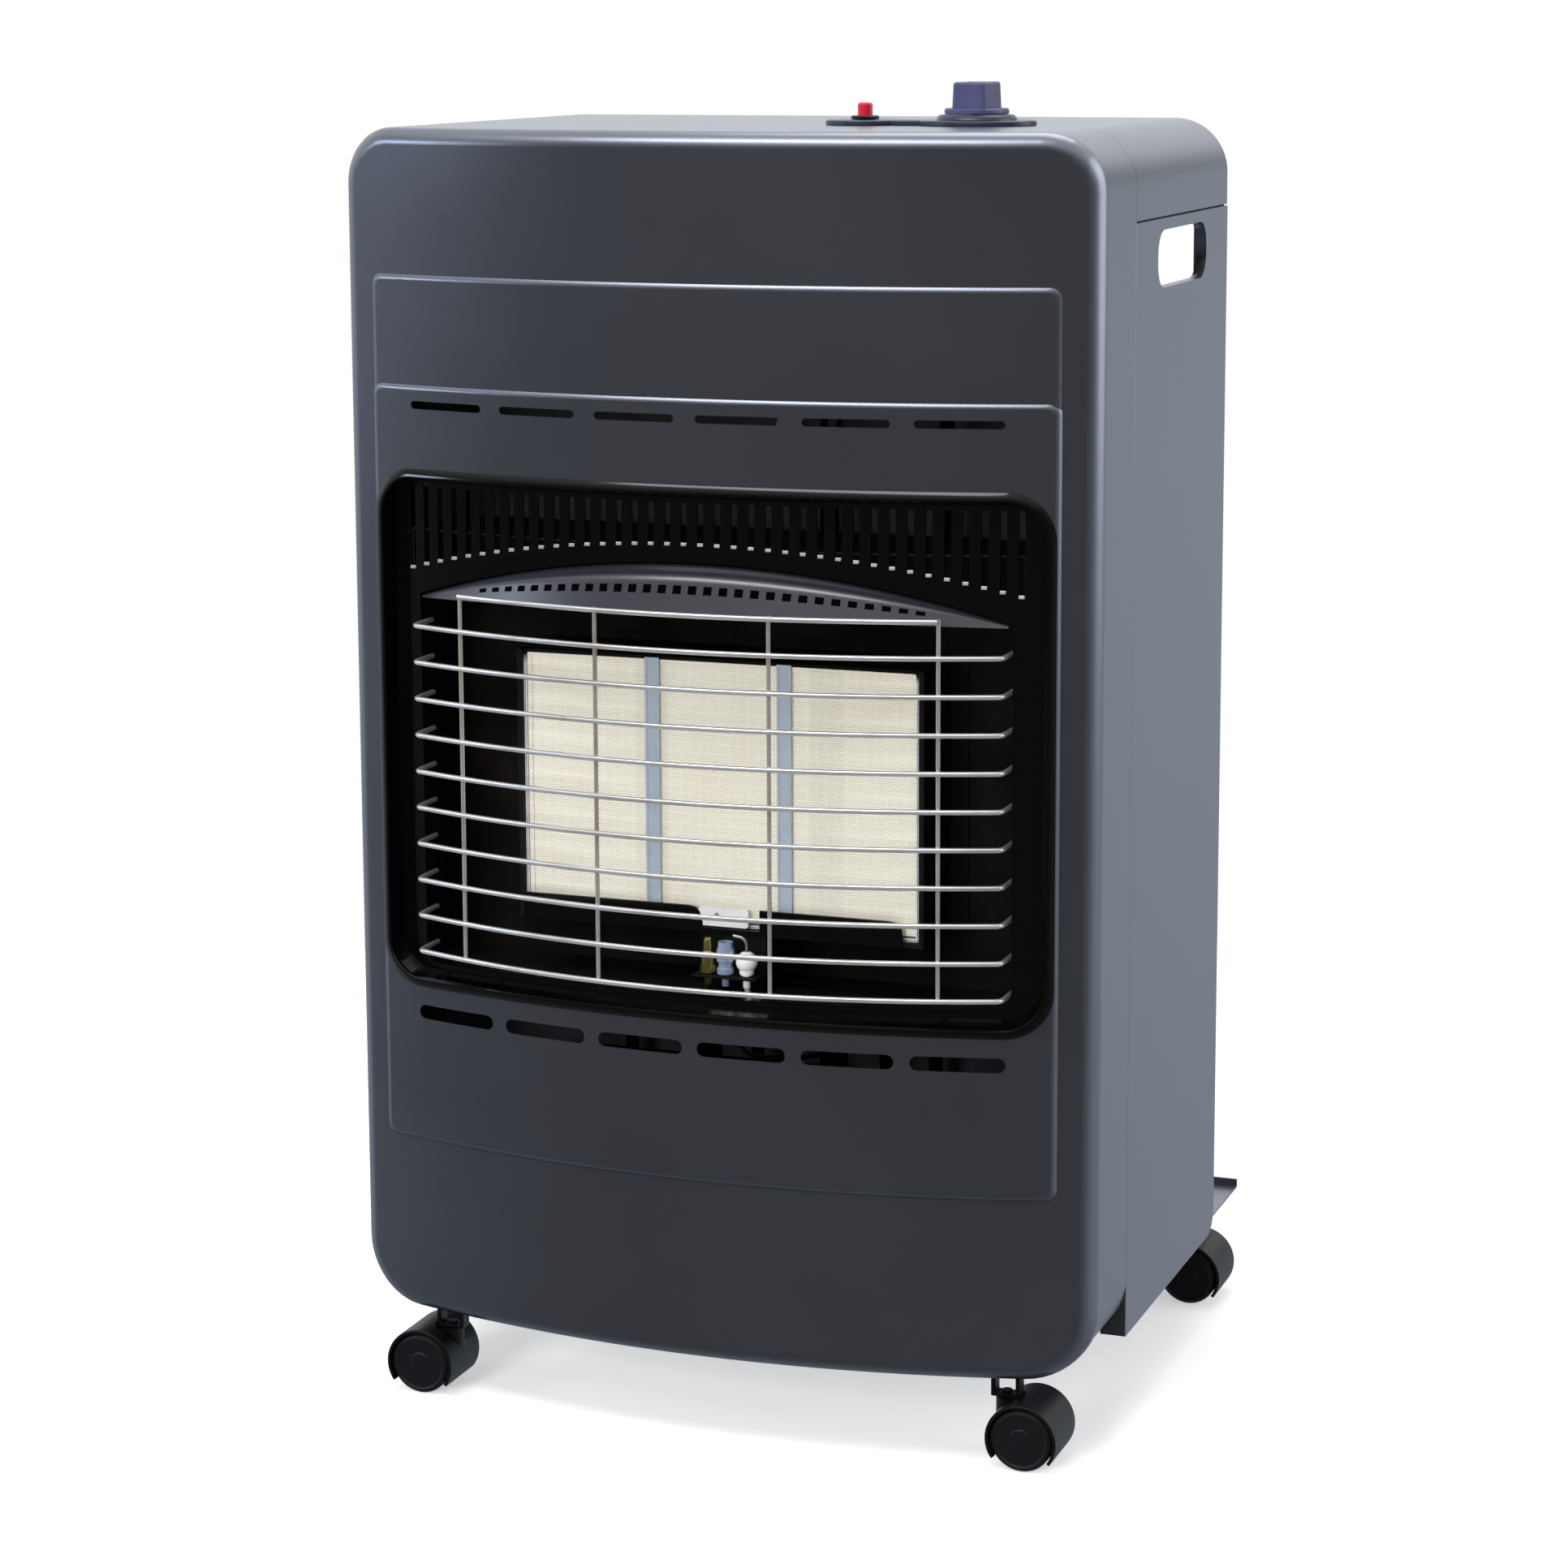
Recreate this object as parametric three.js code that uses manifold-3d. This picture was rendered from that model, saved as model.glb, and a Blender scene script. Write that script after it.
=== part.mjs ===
// Portable gas cabinet heater: a bowed sheet-steel cabinet on four twin-wheel casters, with a
// three-plaque infrared burner behind a wire guard, and a gas bottle bay that is open at the back.
//
// Millimetres. +X is to the right of a person who faces the heater, -Y is the front, +Z is up.
// Heights inside the cabinet group are measured from the cabinet's underside, and depths from the
// plane through the two side ends of the bowed face. The last lines move the whole group so that
// its origin is on the floor, in the middle of the object's box.

import * as THREE from "three";
import { mergeVertices } from "three/addons/utils/BufferGeometryUtils.js";
import Module from "manifold-3d";

const wasm = await Module();
wasm.setup();

// ---------------------------------------------------------------- driving dimensions

const bodyWidth = 420;
const bodyHeight = 643;
const undersideHeight = 54;
const seamDepth = 63;
const sidePanelDepth = 195;
const bowHeight = 35.5;
const sheet = 1.2;
const gap = 0.3;
const seamGap = 0.8;

// Front panel
const topCornerRadius = 30;
const bottomCornerRadius = 36;
const faceEdgeRadius = 9;
const faceDrop = 5;
const flangeLowEdge = 17;
const bottomLipDepth = 12;
const stepHeight = 1.2;
const stepSideMargin = 17;
const stepCornerRadius = 6;
const upperStepDrop = 74.5;
const middleStepRise = 47;
const lowerStepHeight = 92;
const slotCount = 6;
const slotPitch = 56.8;
const upperSlotRise = 34;
const upperSlotLength = 45;
const upperSlotWidth = 4.2;
const lowerSlotDrop = 14;
const lowerSlotLength = 48.5;
const lowerSlotWidth = 7.8;

// Window surround
const windowHalfWidth = 190;
const windowBottom = 180.5;
const windowTop = 463.5;
const windowCornerRadius = 25;
const beadWidth = 5.5;
const beadHeight = 2.2;
const beadOverlap = 3;
const surroundDepth = 10;
const openingHalfWidth = 166;
const openingRise = 11.5;
const openingSideDrop = 68.5;
const openingArchDrop = 41.5;
const openingCornerRadius = 7;
const archStations = 12;
const louvreCount = 38;
const louvrePitch = 9.2;
const louvreWidth = 3.4;
const louvreDrop = 10.5;
const louvreEndRise = 13.5;
const louvreMiddleRise = 9;

// Visor over the opening
const visorLipDrop = 2;
const visorLipRise = 4;
const visorReach = 15;
const visorSheet = 1;

// Fireguard
const guardWireRadius = 1.4;
const guardRowCount = 10;
const guardLowRise = 9;
const guardRowPitch = 19.8;
const guardTopRise = 3;
const guardStand = 14.5;
const guardEndDepth = 4;
const guardJoinDepth = -13;
const guardCornerHalfWidth = 160;
const guardCornerStand = 4.77;
const guardBend = 5;
const guardUprights = [-133, -48, 48, 133];
const weldSink = 0.6;

// Reflector box, burners and their bracket
const reflectorHalfWidth = 172;
const reflectorDrop = 6;
const reflectorRise = 8;
const reflectorBack = 53;
const plaqueWidth = 66.4;
const plaqueHeight = 132;
const plaqueThickness = 12;
const plaqueRecess = 1.5;
const burnerPitch = 74.6;
const burnerGap = 0.4;
const burnerFront = 7;
const burnerRise = 30;
const burnerBackWall = 2;
const burnerRimHeight = 5.5;
const bracketSheet = 3;
const bracketFlange = 10;
const shieldRise = 11;
const shieldSheet = 1.5;
const shieldGapLeft = -8;
const shieldGapRight = 24;
const mixingTubeRadius = 9;
const mixingTubeDepth = 64;
const mixingTubeRise = 30;
const mixingTubeLength = 102;
const mixingNeckHeight = 22;
const manifoldRadius = 6;
const manifoldDrop = 22;
const injectorRadius = 4;
const injectorAirGap = 4;

// Pilot group
const pilotDepth = -5;
const pilotPlateRise = 6;
const pilotSheet = 1.2;
const probeTail = 5;
const thermocoupleX = -2;
const pilotBurnerX = 8;
const electrodeX = 20;

// Heat shield between burner and bottle
const shieldWallDepth = 84;
const shieldWallDrop = 35;

// Side panels and handles
const sideFrontFlange = 14;
const sideRearFlange = 19;
const sideBottomFlange = 12;
const sideRearCorner = 15;
const handleMargin = 44;
const handleLength = 103;
const handleDrop = 6.5;
const handleHeight = 30.5;
const handleCornerRadius = 13;

// Top cap and controls
const capSkirtHeight = 48;
const capRearFlange = 15;
const controlDepth = 92;
const knobX = 115;
const buttonX = 53;
const plateThickness = 2.5;
const plateRightHalfWidth = 32;
const plateRightHalfDepth = 25;
const plateLeftRadius = 21;
const plateWaistHalfDepth = 11;
const spindleRadius = 3;
const knobTravel = 3;
const knobSkirtRadius = 17;
const knobSkirtHeight = 3;
const knobBarWidth = 15.7;
const knobBarLength = 31.6;
const knobHeight = 17;
const knobHeadroom = 3.4;
const valveWidth = 30;
const valveLength = 26;
const valveHeight = 44;
const buttonRadius = 4;
const buttonStand = 9;
const buttonTravel = 5;
const piezoRadius = 9;
const piezoNeckRadius = 6;
const piezoCollarRadius = 7.5;
const piezoCollarHeight = 1.8;
const piezoLength = 50;
const nozzleRadius = 4.5;
const nozzleBarbRadius = 5.5;
const nozzleBore = 2.5;
const nozzleLength = 32;

// Gas lines and leads
const feedPipeRadius = 4;
const pilotPipeRadius = 2;
const thermoLeadRadius = 1.3;
const ignitionLeadRadius = 1.6;
const lineDepth = 66;
const lineX = { ignition: 22, pilot: 46, thermocouple: 58, feed: 112 };

// Base pan
const panFloor = 1.5;
const panSideFlange = 20;
const panRearReach = 79;
const panFrontDepth = -6;
const panRearInset = 5;
const panRearLip = 4;
const panNoseMargin = 17;
const panNoseChamfer = 18;

// Casters
const frontCasterX = 161;
const frontCasterY = 8;
const rearCasterX = 177.5;
const rearCasterInset = 42;
const wheelRadius = 17;
const wheelWidth = 12;
const casterWebHalfWidth = 6;
const hoodClearance = 0.7;
const hoodSheet = 1.8;
const hoodHalfWidth = 19;
const hoodLowAngle = -35;
const casterTrail = 12.5;
const axleRadius = 2.4;
const axleHalfLength = 16;
const strapClearance = 0.8;
const strapWeb = 2;
const strapLegWidth = 2.5;
const strapHalfWidth = 8;
const strapHalfDepth = 4;
const strapPlateHalfWidth = 13;
const strapPlateHalfDepth = 11;
const strapPlateThickness = 1.5;
const stemRadius = 2.6;
const stemHeadRadius = 4.4;
const stemHeadHeight = 2;
const neckRadius = 6;

// ---------------------------------------------------------------- worked-out sizes

const halfWidth = bodyWidth / 2;
const rearEdge = seamDepth + sidePanelDepth;
const panRearDepth = rearEdge + panRearReach;
const panRearHalfWidth = halfWidth - panRearInset;
const rearCasterY = panRearDepth - rearCasterInset;
const capSkirtEdge = bodyHeight - capSkirtHeight;
const shieldWallTop = capSkirtEdge - shieldWallDrop;
const handleTop = capSkirtEdge - handleDrop;
const handleBottom = handleTop - handleHeight;
const handleFront = seamDepth + handleMargin;
const handleRear = handleFront + handleLength;
const upperStepHeight = bodyHeight - upperStepDrop;
const middleStepHeight = windowTop + middleStepRise;
const upperSlotHeight = windowTop + upperSlotRise;
const lowerSlotHeight = windowBottom - lowerSlotDrop;
const openingBottom = windowBottom + openingRise;
const openingSideTop = windowTop - openingSideDrop;
const openingArchTop = windowTop - openingArchDrop;
const louvreTop = windowTop - louvreDrop;
const louvreEndBottom = openingSideTop + louvreEndRise;
const louvreMiddleBottom = openingArchTop + louvreMiddleRise;
const visorLipHeight = openingSideTop - visorLipDrop;
const guardLowRow = openingBottom + guardLowRise;
const guardTopRow = openingSideTop + guardTopRise;
const reflectorBottom = openingBottom - reflectorDrop;
const reflectorTop = openingArchTop + reflectorRise;
const burnerBottom = openingBottom + burnerRise;
const shieldTop = burnerBottom + shieldRise;
const mixingTubeTop = burnerBottom + mixingTubeRise;
const mixingTubeBottom = mixingTubeTop - mixingTubeLength;
const manifoldHeight = mixingTubeBottom - manifoldDrop;
const pilotPlateHeight = openingBottom + pilotPlateRise;
const panTop = panFloor + sheet;
const burnerWidth = burnerPitch - burnerGap;
const burnerHeight = plaqueHeight + 2 * burnerRimHeight + 2 * gap;
const burnerTop = burnerBottom + burnerHeight;
const burnerOuterX = burnerPitch * 1.5 - burnerGap / 2;
const shelfTop = burnerBottom - gap;
const shelfBottom = shelfTop - bracketSheet;
const stepHalfWidth = halfWidth - stepSideMargin;
const faceProud = 2 * stepHeight;
const panelFrontOffset = faceProud - surroundDepth;
const panelBackOffset = panelFrontOffset - sheet;
const plateBottom = bodyHeight + gap;
const plateTop = plateBottom + plateThickness;
const knobSkirtBottom = plateTop + knobTravel + gap;
const knobTop = plateTop + knobTravel + knobHeight;
const spindleTop = knobTop - knobTravel - knobHeadroom;
const capUnderside = bodyHeight - sheet;
const valveTop = capUnderside - gap;
const valveBottom = valveTop - valveHeight;
const piezoBottom = valveTop - piezoLength;
const wheelCentre = wheelRadius - undersideHeight;
const hoodRadius = wheelRadius + hoodClearance + hoodSheet;
const strapFoot = wheelCentre + wheelRadius + strapClearance;

// ---------------------------------------------------------------- materials

const paint = (colour, roughness, metalness) =>
  new THREE.MeshStandardMaterial({ color: colour, roughness, metalness });
const bodyPaint = paint(0x5a5e6b, 0.45, 0.3);
const glossBlack = paint(0x0b0b0d, 0.15, 0.1);
const darkSteel = paint(0x2b2b30, 0.5, 0.8);
const guardChrome = paint(0xc8c6c8, 0.25, 1.0);
const burnerSteel = paint(0xaab4be, 0.4, 0.8);
const ceramic = paint(0xe1ded4, 0.9, 0.0);
const galvanised = paint(0x9a9ea4, 0.5, 0.7);
const brass = paint(0xb8953f, 0.35, 1.0);
const copper = paint(0xb46a3c, 0.4, 1.0);
const blackPlastic = paint(0x101014, 0.5, 0.0);
const bluePlastic = paint(0x3c4064, 0.45, 0.0);
const redPlastic = paint(0xbe142d, 0.35, 0.0);
const darkPlate = paint(0x23283a, 0.4, 0.0);
const wheelPlastic = paint(0x1a1a1c, 0.6, 0.0);
const whiteCeramic = paint(0xf0f0ee, 0.4, 0.0);
const leadRubber = paint(0x6a2a22, 0.6, 0.0);

// ---------------------------------------------------------------- solid helpers

// A closed geometry as a solid that can be cut and joined.
function solidOf(geometry) {
  const bare = geometry.index ? geometry.toNonIndexed() : geometry.clone();
  bare.deleteAttribute("normal");
  bare.deleteAttribute("uv");
  const merged = mergeVertices(bare, 1e-4);
  const mesh = new wasm.Mesh({
    numProp: 3,
    vertProperties: merged.attributes.position.array,
    triVerts: new Uint32Array(merged.index.array),
  });
  return new wasm.Manifold(mesh);
}

// A solid as a geometry with flat-shaded faces.
function geometryOf(solid) {
  const mesh = solid.getMesh();
  const geometry = new THREE.BufferGeometry();
  geometry.setAttribute("position", new THREE.BufferAttribute(mesh.vertProperties, 3));
  geometry.setIndex(new THREE.BufferAttribute(mesh.triVerts, 1));
  const flat = geometry.toNonIndexed();
  flat.computeVertexNormals();
  return flat;
}

function joined(first, ...rest) {
  return rest.reduce((whole, piece) => whole.add(piece), first);
}

function without(first, ...rest) {
  return rest.reduce((whole, piece) => whole.subtract(piece), first);
}

function block(x0, x1, y0, y1, z0, z1) {
  const geometry = new THREE.BoxGeometry(x1 - x0, y1 - y0, z1 - z0);
  geometry.translate((x0 + x1) / 2, (y0 + y1) / 2, (z0 + z1) / 2);
  return solidOf(geometry);
}

function extruded(shape, depth, segments) {
  return new THREE.ExtrudeGeometry(shape, { depth, bevelEnabled: false, curveSegments: segments });
}

// A shape drawn in X and Y, standing from z0 up to z1.
function standing(shape, z0, z1, segments = 8) {
  return solidOf(extruded(shape, z1 - z0, segments).translate(0, 0, z0));
}

// A shape drawn in X and Z, running from y0 back to y1.
function facing(shape, y0, y1, segments = 8) {
  const geometry = extruded(shape, y1 - y0, segments);
  geometry.rotateX(Math.PI / 2);
  return solidOf(geometry.translate(0, y1, 0));
}

// A shape drawn in Y and Z, running from x0 across to x1.
function crossing(shape, x0, x1, segments = 8) {
  const geometry = extruded(shape, x1 - x0, segments);
  const turn = new THREE.Matrix4().makeBasis(
    new THREE.Vector3(0, 1, 0),
    new THREE.Vector3(0, 0, 1),
    new THREE.Vector3(1, 0, 0),
  );
  geometry.applyMatrix4(turn);
  return solidOf(geometry.translate(x0, 0, 0));
}

// A round bar between two points.
function rod(from, to, radius, sides = 12) {
  const start = new THREE.Vector3(...from);
  const along = new THREE.Vector3(...to).sub(start);
  const length = along.length();
  const geometry = new THREE.CylinderGeometry(radius, radius, length, sides);
  geometry.translate(0, length / 2, 0);
  const turn = new THREE.Quaternion().setFromUnitVectors(
    new THREE.Vector3(0, 1, 0),
    along.normalize(),
  );
  geometry.applyQuaternion(turn);
  geometry.translate(start.x, start.y, start.z);
  return solidOf(geometry);
}

// A turned piece on the Z axis: each profile point is [radius, height].
function turned(profile, sides = 16) {
  const points = profile.map(([radius, height]) => new THREE.Vector2(radius, height));
  const geometry = new THREE.LatheGeometry(points, sides);
  geometry.rotateX(Math.PI / 2);
  return solidOf(geometry);
}

// A round section swept along a smooth curve through the points.
function swept(points, radius, sides, steps) {
  const path = new THREE.CatmullRomCurve3(
    points.map((point) => new THREE.Vector3(...point)),
    false,
    "centripetal",
  );
  const section = new THREE.Shape();
  for (let side = 0; side < sides; side += 1) {
    const angle = (2 * Math.PI * side) / sides;
    const x = radius * Math.cos(angle);
    const y = radius * Math.sin(angle);
    if (side === 0) section.moveTo(x, y);
    else section.lineTo(x, y);
  }
  section.closePath();
  return solidOf(
    new THREE.ExtrudeGeometry(section, { steps, extrudePath: path, bevelEnabled: false }),
  );
}

function rectangle(x0, x1, y0, y1) {
  const shape = new THREE.Shape();
  shape.moveTo(x0, y0);
  shape.lineTo(x1, y0);
  shape.lineTo(x1, y1);
  shape.lineTo(x0, y1);
  shape.closePath();
  return shape;
}

// A rectangle with one radius at its two low corners and another at its two high corners.
function roundedRectangle(x0, x1, y0, y1, lowRadius, highRadius = lowRadius) {
  const shape = new THREE.Shape();
  const quarter = Math.PI / 2;
  shape.moveTo(x0 + lowRadius, y0);
  shape.lineTo(x1 - lowRadius, y0);
  if (lowRadius > 0) shape.absarc(x1 - lowRadius, y0 + lowRadius, lowRadius, -quarter, 0);
  shape.lineTo(x1, y1 - highRadius);
  if (highRadius > 0) shape.absarc(x1 - highRadius, y1 - highRadius, highRadius, 0, quarter);
  shape.lineTo(x0 + highRadius, y1);
  if (highRadius > 0) shape.absarc(x0 + highRadius, y1 - highRadius, highRadius, quarter, 2 * quarter);
  shape.lineTo(x0, y0 + lowRadius);
  if (lowRadius > 0) shape.absarc(x0 + lowRadius, y0 + lowRadius, lowRadius, 2 * quarter, 3 * quarter);
  return shape;
}

function circle(x, y, radius) {
  const shape = new THREE.Shape();
  shape.absarc(x, y, radius, 0, 2 * Math.PI);
  return shape;
}

// ---------------------------------------------------------------- the bow of the face

const bowStations = 14;
const farFront = -90;

// Depth of the bowed face at x, moved forward by an offset. The bow is a chain of short straight
// lines between fixed stations, so that every sheet that follows it stays parallel to the rest.
function bowDepth(x, forward = 0) {
  const pitch = (2 * halfWidth) / bowStations;
  const station = Math.floor(x / pitch + 1e-6);
  const curve = (place) => -bowHeight * (1 - ((place * pitch) / halfWidth) ** 2);
  const share = x / pitch - station;
  return curve(station) * (1 - share) + curve(station + 1) * share - forward;
}

// Points along the bow from -reach to +reach.
function bowPoints(reach, forward) {
  const pitch = (2 * halfWidth) / bowStations;
  const inside = Math.ceil(reach / pitch - 1e-6) - 1;
  const xs = [-reach];
  for (let station = -inside; station <= inside; station += 1) xs.push(station * pitch);
  xs.push(reach);
  return xs.map((x) => new THREE.Vector2(x, bowDepth(x, forward)));
}

// A standing solid between two offsets of the bow.
function bowSlab(frontOffset, backOffset, reach, z0, z1) {
  const back = bowPoints(reach, backOffset).reverse();
  return standing(new THREE.Shape([...bowPoints(reach, frontOffset), ...back]), z0, z1);
}

// Everything in front of one offset of the bow.
function aheadOfBow(offset, z0, z1) {
  const reach = halfWidth + 20;
  const corners = [new THREE.Vector2(reach, farFront), new THREE.Vector2(-reach, farFront)];
  return standing(new THREE.Shape([...bowPoints(reach, offset), ...corners]), z0, z1);
}

// Plan outline of the front panel, drawn a distance inside its outer face.
function panelPlan(inset, back) {
  const edge = halfWidth - inset;
  const reach = halfWidth - faceEdgeRadius;
  const start = bowDepth(reach, -inset);
  const end = start + faceEdgeRadius - inset;
  const shape = new THREE.Shape(bowPoints(reach, -inset));
  shape.quadraticCurveTo(edge, start, edge, end);
  shape.lineTo(edge, back);
  shape.lineTo(-edge, back);
  shape.lineTo(-edge, end);
  shape.quadraticCurveTo(-edge, start, -reach, start);
  return shape;
}

// ---------------------------------------------------------------- front panel

function ventSlot(x, height, length, width) {
  const shape = roundedRectangle(
    x - length / 2,
    x + length / 2,
    height - width / 2,
    height + width / 2,
    width / 2 - 0.01,
  );
  return facing(shape, farFront, 0, 2);
}

function slotRow(height, length, width) {
  const slots = [];
  for (let index = 0; index < slotCount; index += 1) {
    const x = (index - (slotCount - 1) / 2) * slotPitch;
    slots.push(ventSlot(x, height, length, width));
  }
  return slots;
}

// One raised step of the face, from the low step line up to its own top line.
function raisedStep(topLine, proud, inset) {
  const outline = roundedRectangle(
    -stepHalfWidth + inset,
    stepHalfWidth - inset,
    lowerStepHeight + inset,
    topLine - inset,
    stepCornerRadius,
  );
  const slab = bowSlab(proud - inset, -inset - 1, stepHalfWidth + 1, lowerStepHeight, topLine);
  return slab.intersect(facing(outline, farFront, 0, 2));
}

function frontPanel() {
  const low = -faceDrop;
  const outside = roundedRectangle(
    -halfWidth,
    halfWidth,
    low,
    bodyHeight,
    bottomCornerRadius,
    topCornerRadius,
  );
  const inside = roundedRectangle(
    -halfWidth + sheet,
    halfWidth - sheet,
    low + sheet,
    bodyHeight - sheet,
    bottomCornerRadius - sheet,
    topCornerRadius - sheet,
  );
  let outer = standing(panelPlan(0, seamDepth), low - 1, bodyHeight + 1, 4).intersect(
    facing(outside, farFront, seamDepth, 5),
  );
  let inner = standing(panelPlan(sheet, seamDepth + 1), low - 1, bodyHeight + 1, 4).intersect(
    facing(inside, farFront, seamDepth + 1, 5),
  );
  const steps = [
    [upperStepHeight, stepHeight],
    [middleStepHeight, 2 * stepHeight],
  ];
  for (const [topLine, proud] of steps) {
    outer = outer.add(raisedStep(topLine, proud, 0));
    inner = inner.add(raisedStep(topLine, proud, sheet));
  }
  const window = roundedRectangle(
    -windowHalfWidth + beadOverlap,
    windowHalfWidth - beadOverlap,
    windowBottom + beadOverlap,
    windowTop - beadOverlap,
    windowCornerRadius - beadOverlap,
  );
  const lowCut = bowSlab(-bottomLipDepth, -bowHeight - seamDepth - 5, halfWidth + 5, low - 1, flangeLowEdge);
  return without(
    outer.subtract(inner),
    facing(window, farFront, 0, 4),
    ...slotRow(upperSlotHeight, upperSlotLength, upperSlotWidth),
    ...slotRow(lowerSlotHeight, lowerSlotLength, lowerSlotWidth),
    lowCut,
  );
}

// ---------------------------------------------------------------- window surround and visor

function windowOutline(inset) {
  return roundedRectangle(
    -windowHalfWidth + inset,
    windowHalfWidth - inset,
    windowBottom + inset,
    windowTop - inset,
    windowCornerRadius - inset,
  );
}

// Height of the opening's arch at x: a chain of straight lines between stations, like the bow.
function archHeight(x) {
  const pitch = (2 * openingHalfWidth) / archStations;
  const station = Math.min(Math.floor(x / pitch + 1e-6), archStations / 2 - 1);
  const rise = openingArchTop - openingSideTop;
  const curve = (place) => openingSideTop + rise * (1 - ((place * pitch) / openingHalfWidth) ** 2);
  const share = x / pitch - station;
  return curve(station) * (1 - share) + curve(station + 1) * share;
}

function louvreBottom(x) {
  const end = (louvrePitch * (louvreCount - 1)) / 2;
  return louvreEndBottom + (louvreMiddleBottom - louvreEndBottom) * (1 - (x / end) ** 2);
}

function openingOutline() {
  const shape = new THREE.Shape();
  const quarter = Math.PI / 2;
  const x = openingHalfWidth;
  const radius = openingCornerRadius;
  shape.moveTo(-x + radius, openingBottom);
  shape.lineTo(x - radius, openingBottom);
  shape.absarc(x - radius, openingBottom + radius, radius, -quarter, 0);
  for (let station = archStations / 2; station >= -archStations / 2; station -= 1) {
    const along = (station * 2 * x) / archStations;
    shape.lineTo(along, archHeight(along));
  }
  shape.lineTo(-x, openingBottom + radius);
  shape.absarc(-x + radius, openingBottom + radius, radius, 2 * quarter, 3 * quarter);
  return shape;
}

function windowSurround() {
  const low = windowBottom - 1;
  const high = windowTop + 1;
  const reach = windowHalfWidth + 1;
  const beadRing = facing(windowOutline(0), farFront, 0, 4).subtract(
    facing(windowOutline(beadWidth), farFront - 1, 1, 4),
  );
  const bead = bowSlab(faceProud + gap + beadHeight, faceProud + gap, reach, low, high).intersect(beadRing);
  const wallOuter = beadOverlap + gap;
  const wallRing = facing(windowOutline(wallOuter), farFront, 20, 4).subtract(
    facing(windowOutline(wallOuter + sheet), farFront - 1, 21, 4),
  );
  const wall = bowSlab(faceProud + gap + 1, panelBackOffset, reach, low, high).intersect(wallRing);
  const panel = bowSlab(panelFrontOffset, panelBackOffset, reach, low, high).intersect(
    facing(windowOutline(wallOuter), farFront, 20, 4),
  );
  const louvres = [];
  for (let index = 0; index < louvreCount; index += 1) {
    const x = (index - (louvreCount - 1) / 2) * louvrePitch;
    const half = louvreWidth / 2;
    louvres.push(block(x - half, x + half, farFront, 10, louvreBottom(x), louvreTop));
  }
  const opening = facing(openingOutline(), farFront, 20, 6);
  return joined(bead, wall, without(panel, opening, ...louvres));
}

// The pressed visor that hangs forward from the arch of the opening: a strip of four-cornered
// sections, root at the arch and lip behind the guard's top wire.
function visorHood() {
  const steps = 12;
  const end = openingHalfWidth - 2;
  const positions = [];
  const faces = [];
  for (let index = 0; index <= steps; index += 1) {
    const x = -end + (2 * end * index) / steps;
    const middle = 1 - (x / openingHalfWidth) ** 2;
    const rootY = bowDepth(x, panelBackOffset + sheet / 2);
    const rootZ = archHeight(x) - gap - visorSheet;
    const lipY = rootY - 2 - visorReach * middle;
    const lipZ = visorLipHeight + visorLipRise * middle;
    const slant = Math.hypot(rootY - lipY, rootZ - lipZ);
    const offY = (-visorSheet * (rootZ - lipZ)) / slant;
    const offZ = (visorSheet * (rootY - lipY)) / slant;
    positions.push(x, rootY, rootZ);
    positions.push(x, lipY, lipZ);
    positions.push(x, lipY + offY, lipZ + offZ);
    positions.push(x, rootY + offY, rootZ + offZ);
  }
  for (let index = 0; index < steps; index += 1) {
    for (let corner = 0; corner < 4; corner += 1) {
      const here = index * 4 + corner;
      const beside = index * 4 + ((corner + 1) % 4);
      faces.push(here, beside + 4, beside);
      faces.push(here, here + 4, beside + 4);
    }
  }
  const last = steps * 4;
  faces.push(0, 1, 2, 0, 2, 3);
  faces.push(last, last + 2, last + 1, last, last + 3, last + 2);
  const geometry = new THREE.BufferGeometry();
  geometry.setAttribute("position", new THREE.Float32BufferAttribute(positions, 3));
  geometry.setIndex(faces);
  return solidOf(geometry);
}

// ---------------------------------------------------------------- fireguard

const guardCornerY = bowDepth(guardCornerHalfWidth, guardCornerStand);
const guardSide = openingHalfWidth - gap - guardWireRadius;
const guardRows = Array.from({ length: guardRowCount }, (_, row) => guardLowRow + row * guardRowPitch);

// Depth of a guard wire's centre line at x.
function guardDepth(x) {
  const middle = bowDepth(0, guardStand);
  return middle + (guardCornerY - middle) * (x / guardCornerHalfWidth) ** 2;
}

// A wire of six sides along points that lie at one height.
function levelWire(points, height, radius) {
  const sides = 6;
  const positions = [];
  const faces = [];
  points.forEach(([x, y], index) => {
    const before = points[Math.max(index - 1, 0)];
    const after = points[Math.min(index + 1, points.length - 1)];
    const length = Math.hypot(after[0] - before[0], after[1] - before[1]);
    const acrossX = (after[1] - before[1]) / length;
    const acrossY = -(after[0] - before[0]) / length;
    for (let side = 0; side < sides; side += 1) {
      const angle = (2 * Math.PI * side) / sides;
      const across = radius * Math.cos(angle);
      positions.push(x + across * acrossX, y + across * acrossY, height + radius * Math.sin(angle));
    }
  });
  for (let index = 0; index < points.length - 1; index += 1) {
    for (let side = 0; side < sides; side += 1) {
      const here = index * sides + side;
      const beside = index * sides + ((side + 1) % sides);
      faces.push(here, beside + sides, beside, here, here + sides, beside + sides);
    }
  }
  const last = (points.length - 1) * sides;
  for (let side = 1; side < sides - 1; side += 1) {
    faces.push(0, side, side + 1, last, last + side + 1, last + side);
  }
  const geometry = new THREE.BufferGeometry();
  geometry.setAttribute("position", new THREE.Float32BufferAttribute(positions, 3));
  geometry.setIndex(faces);
  return solidOf(geometry);
}

// Points of the guard's bow between two side limits.
function guardBow(reach, spans) {
  const points = [];
  for (let index = 0; index <= spans; index += 1) {
    const x = -reach + (2 * reach * index) / spans;
    points.push([x, guardDepth(x)]);
  }
  return points;
}

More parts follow.
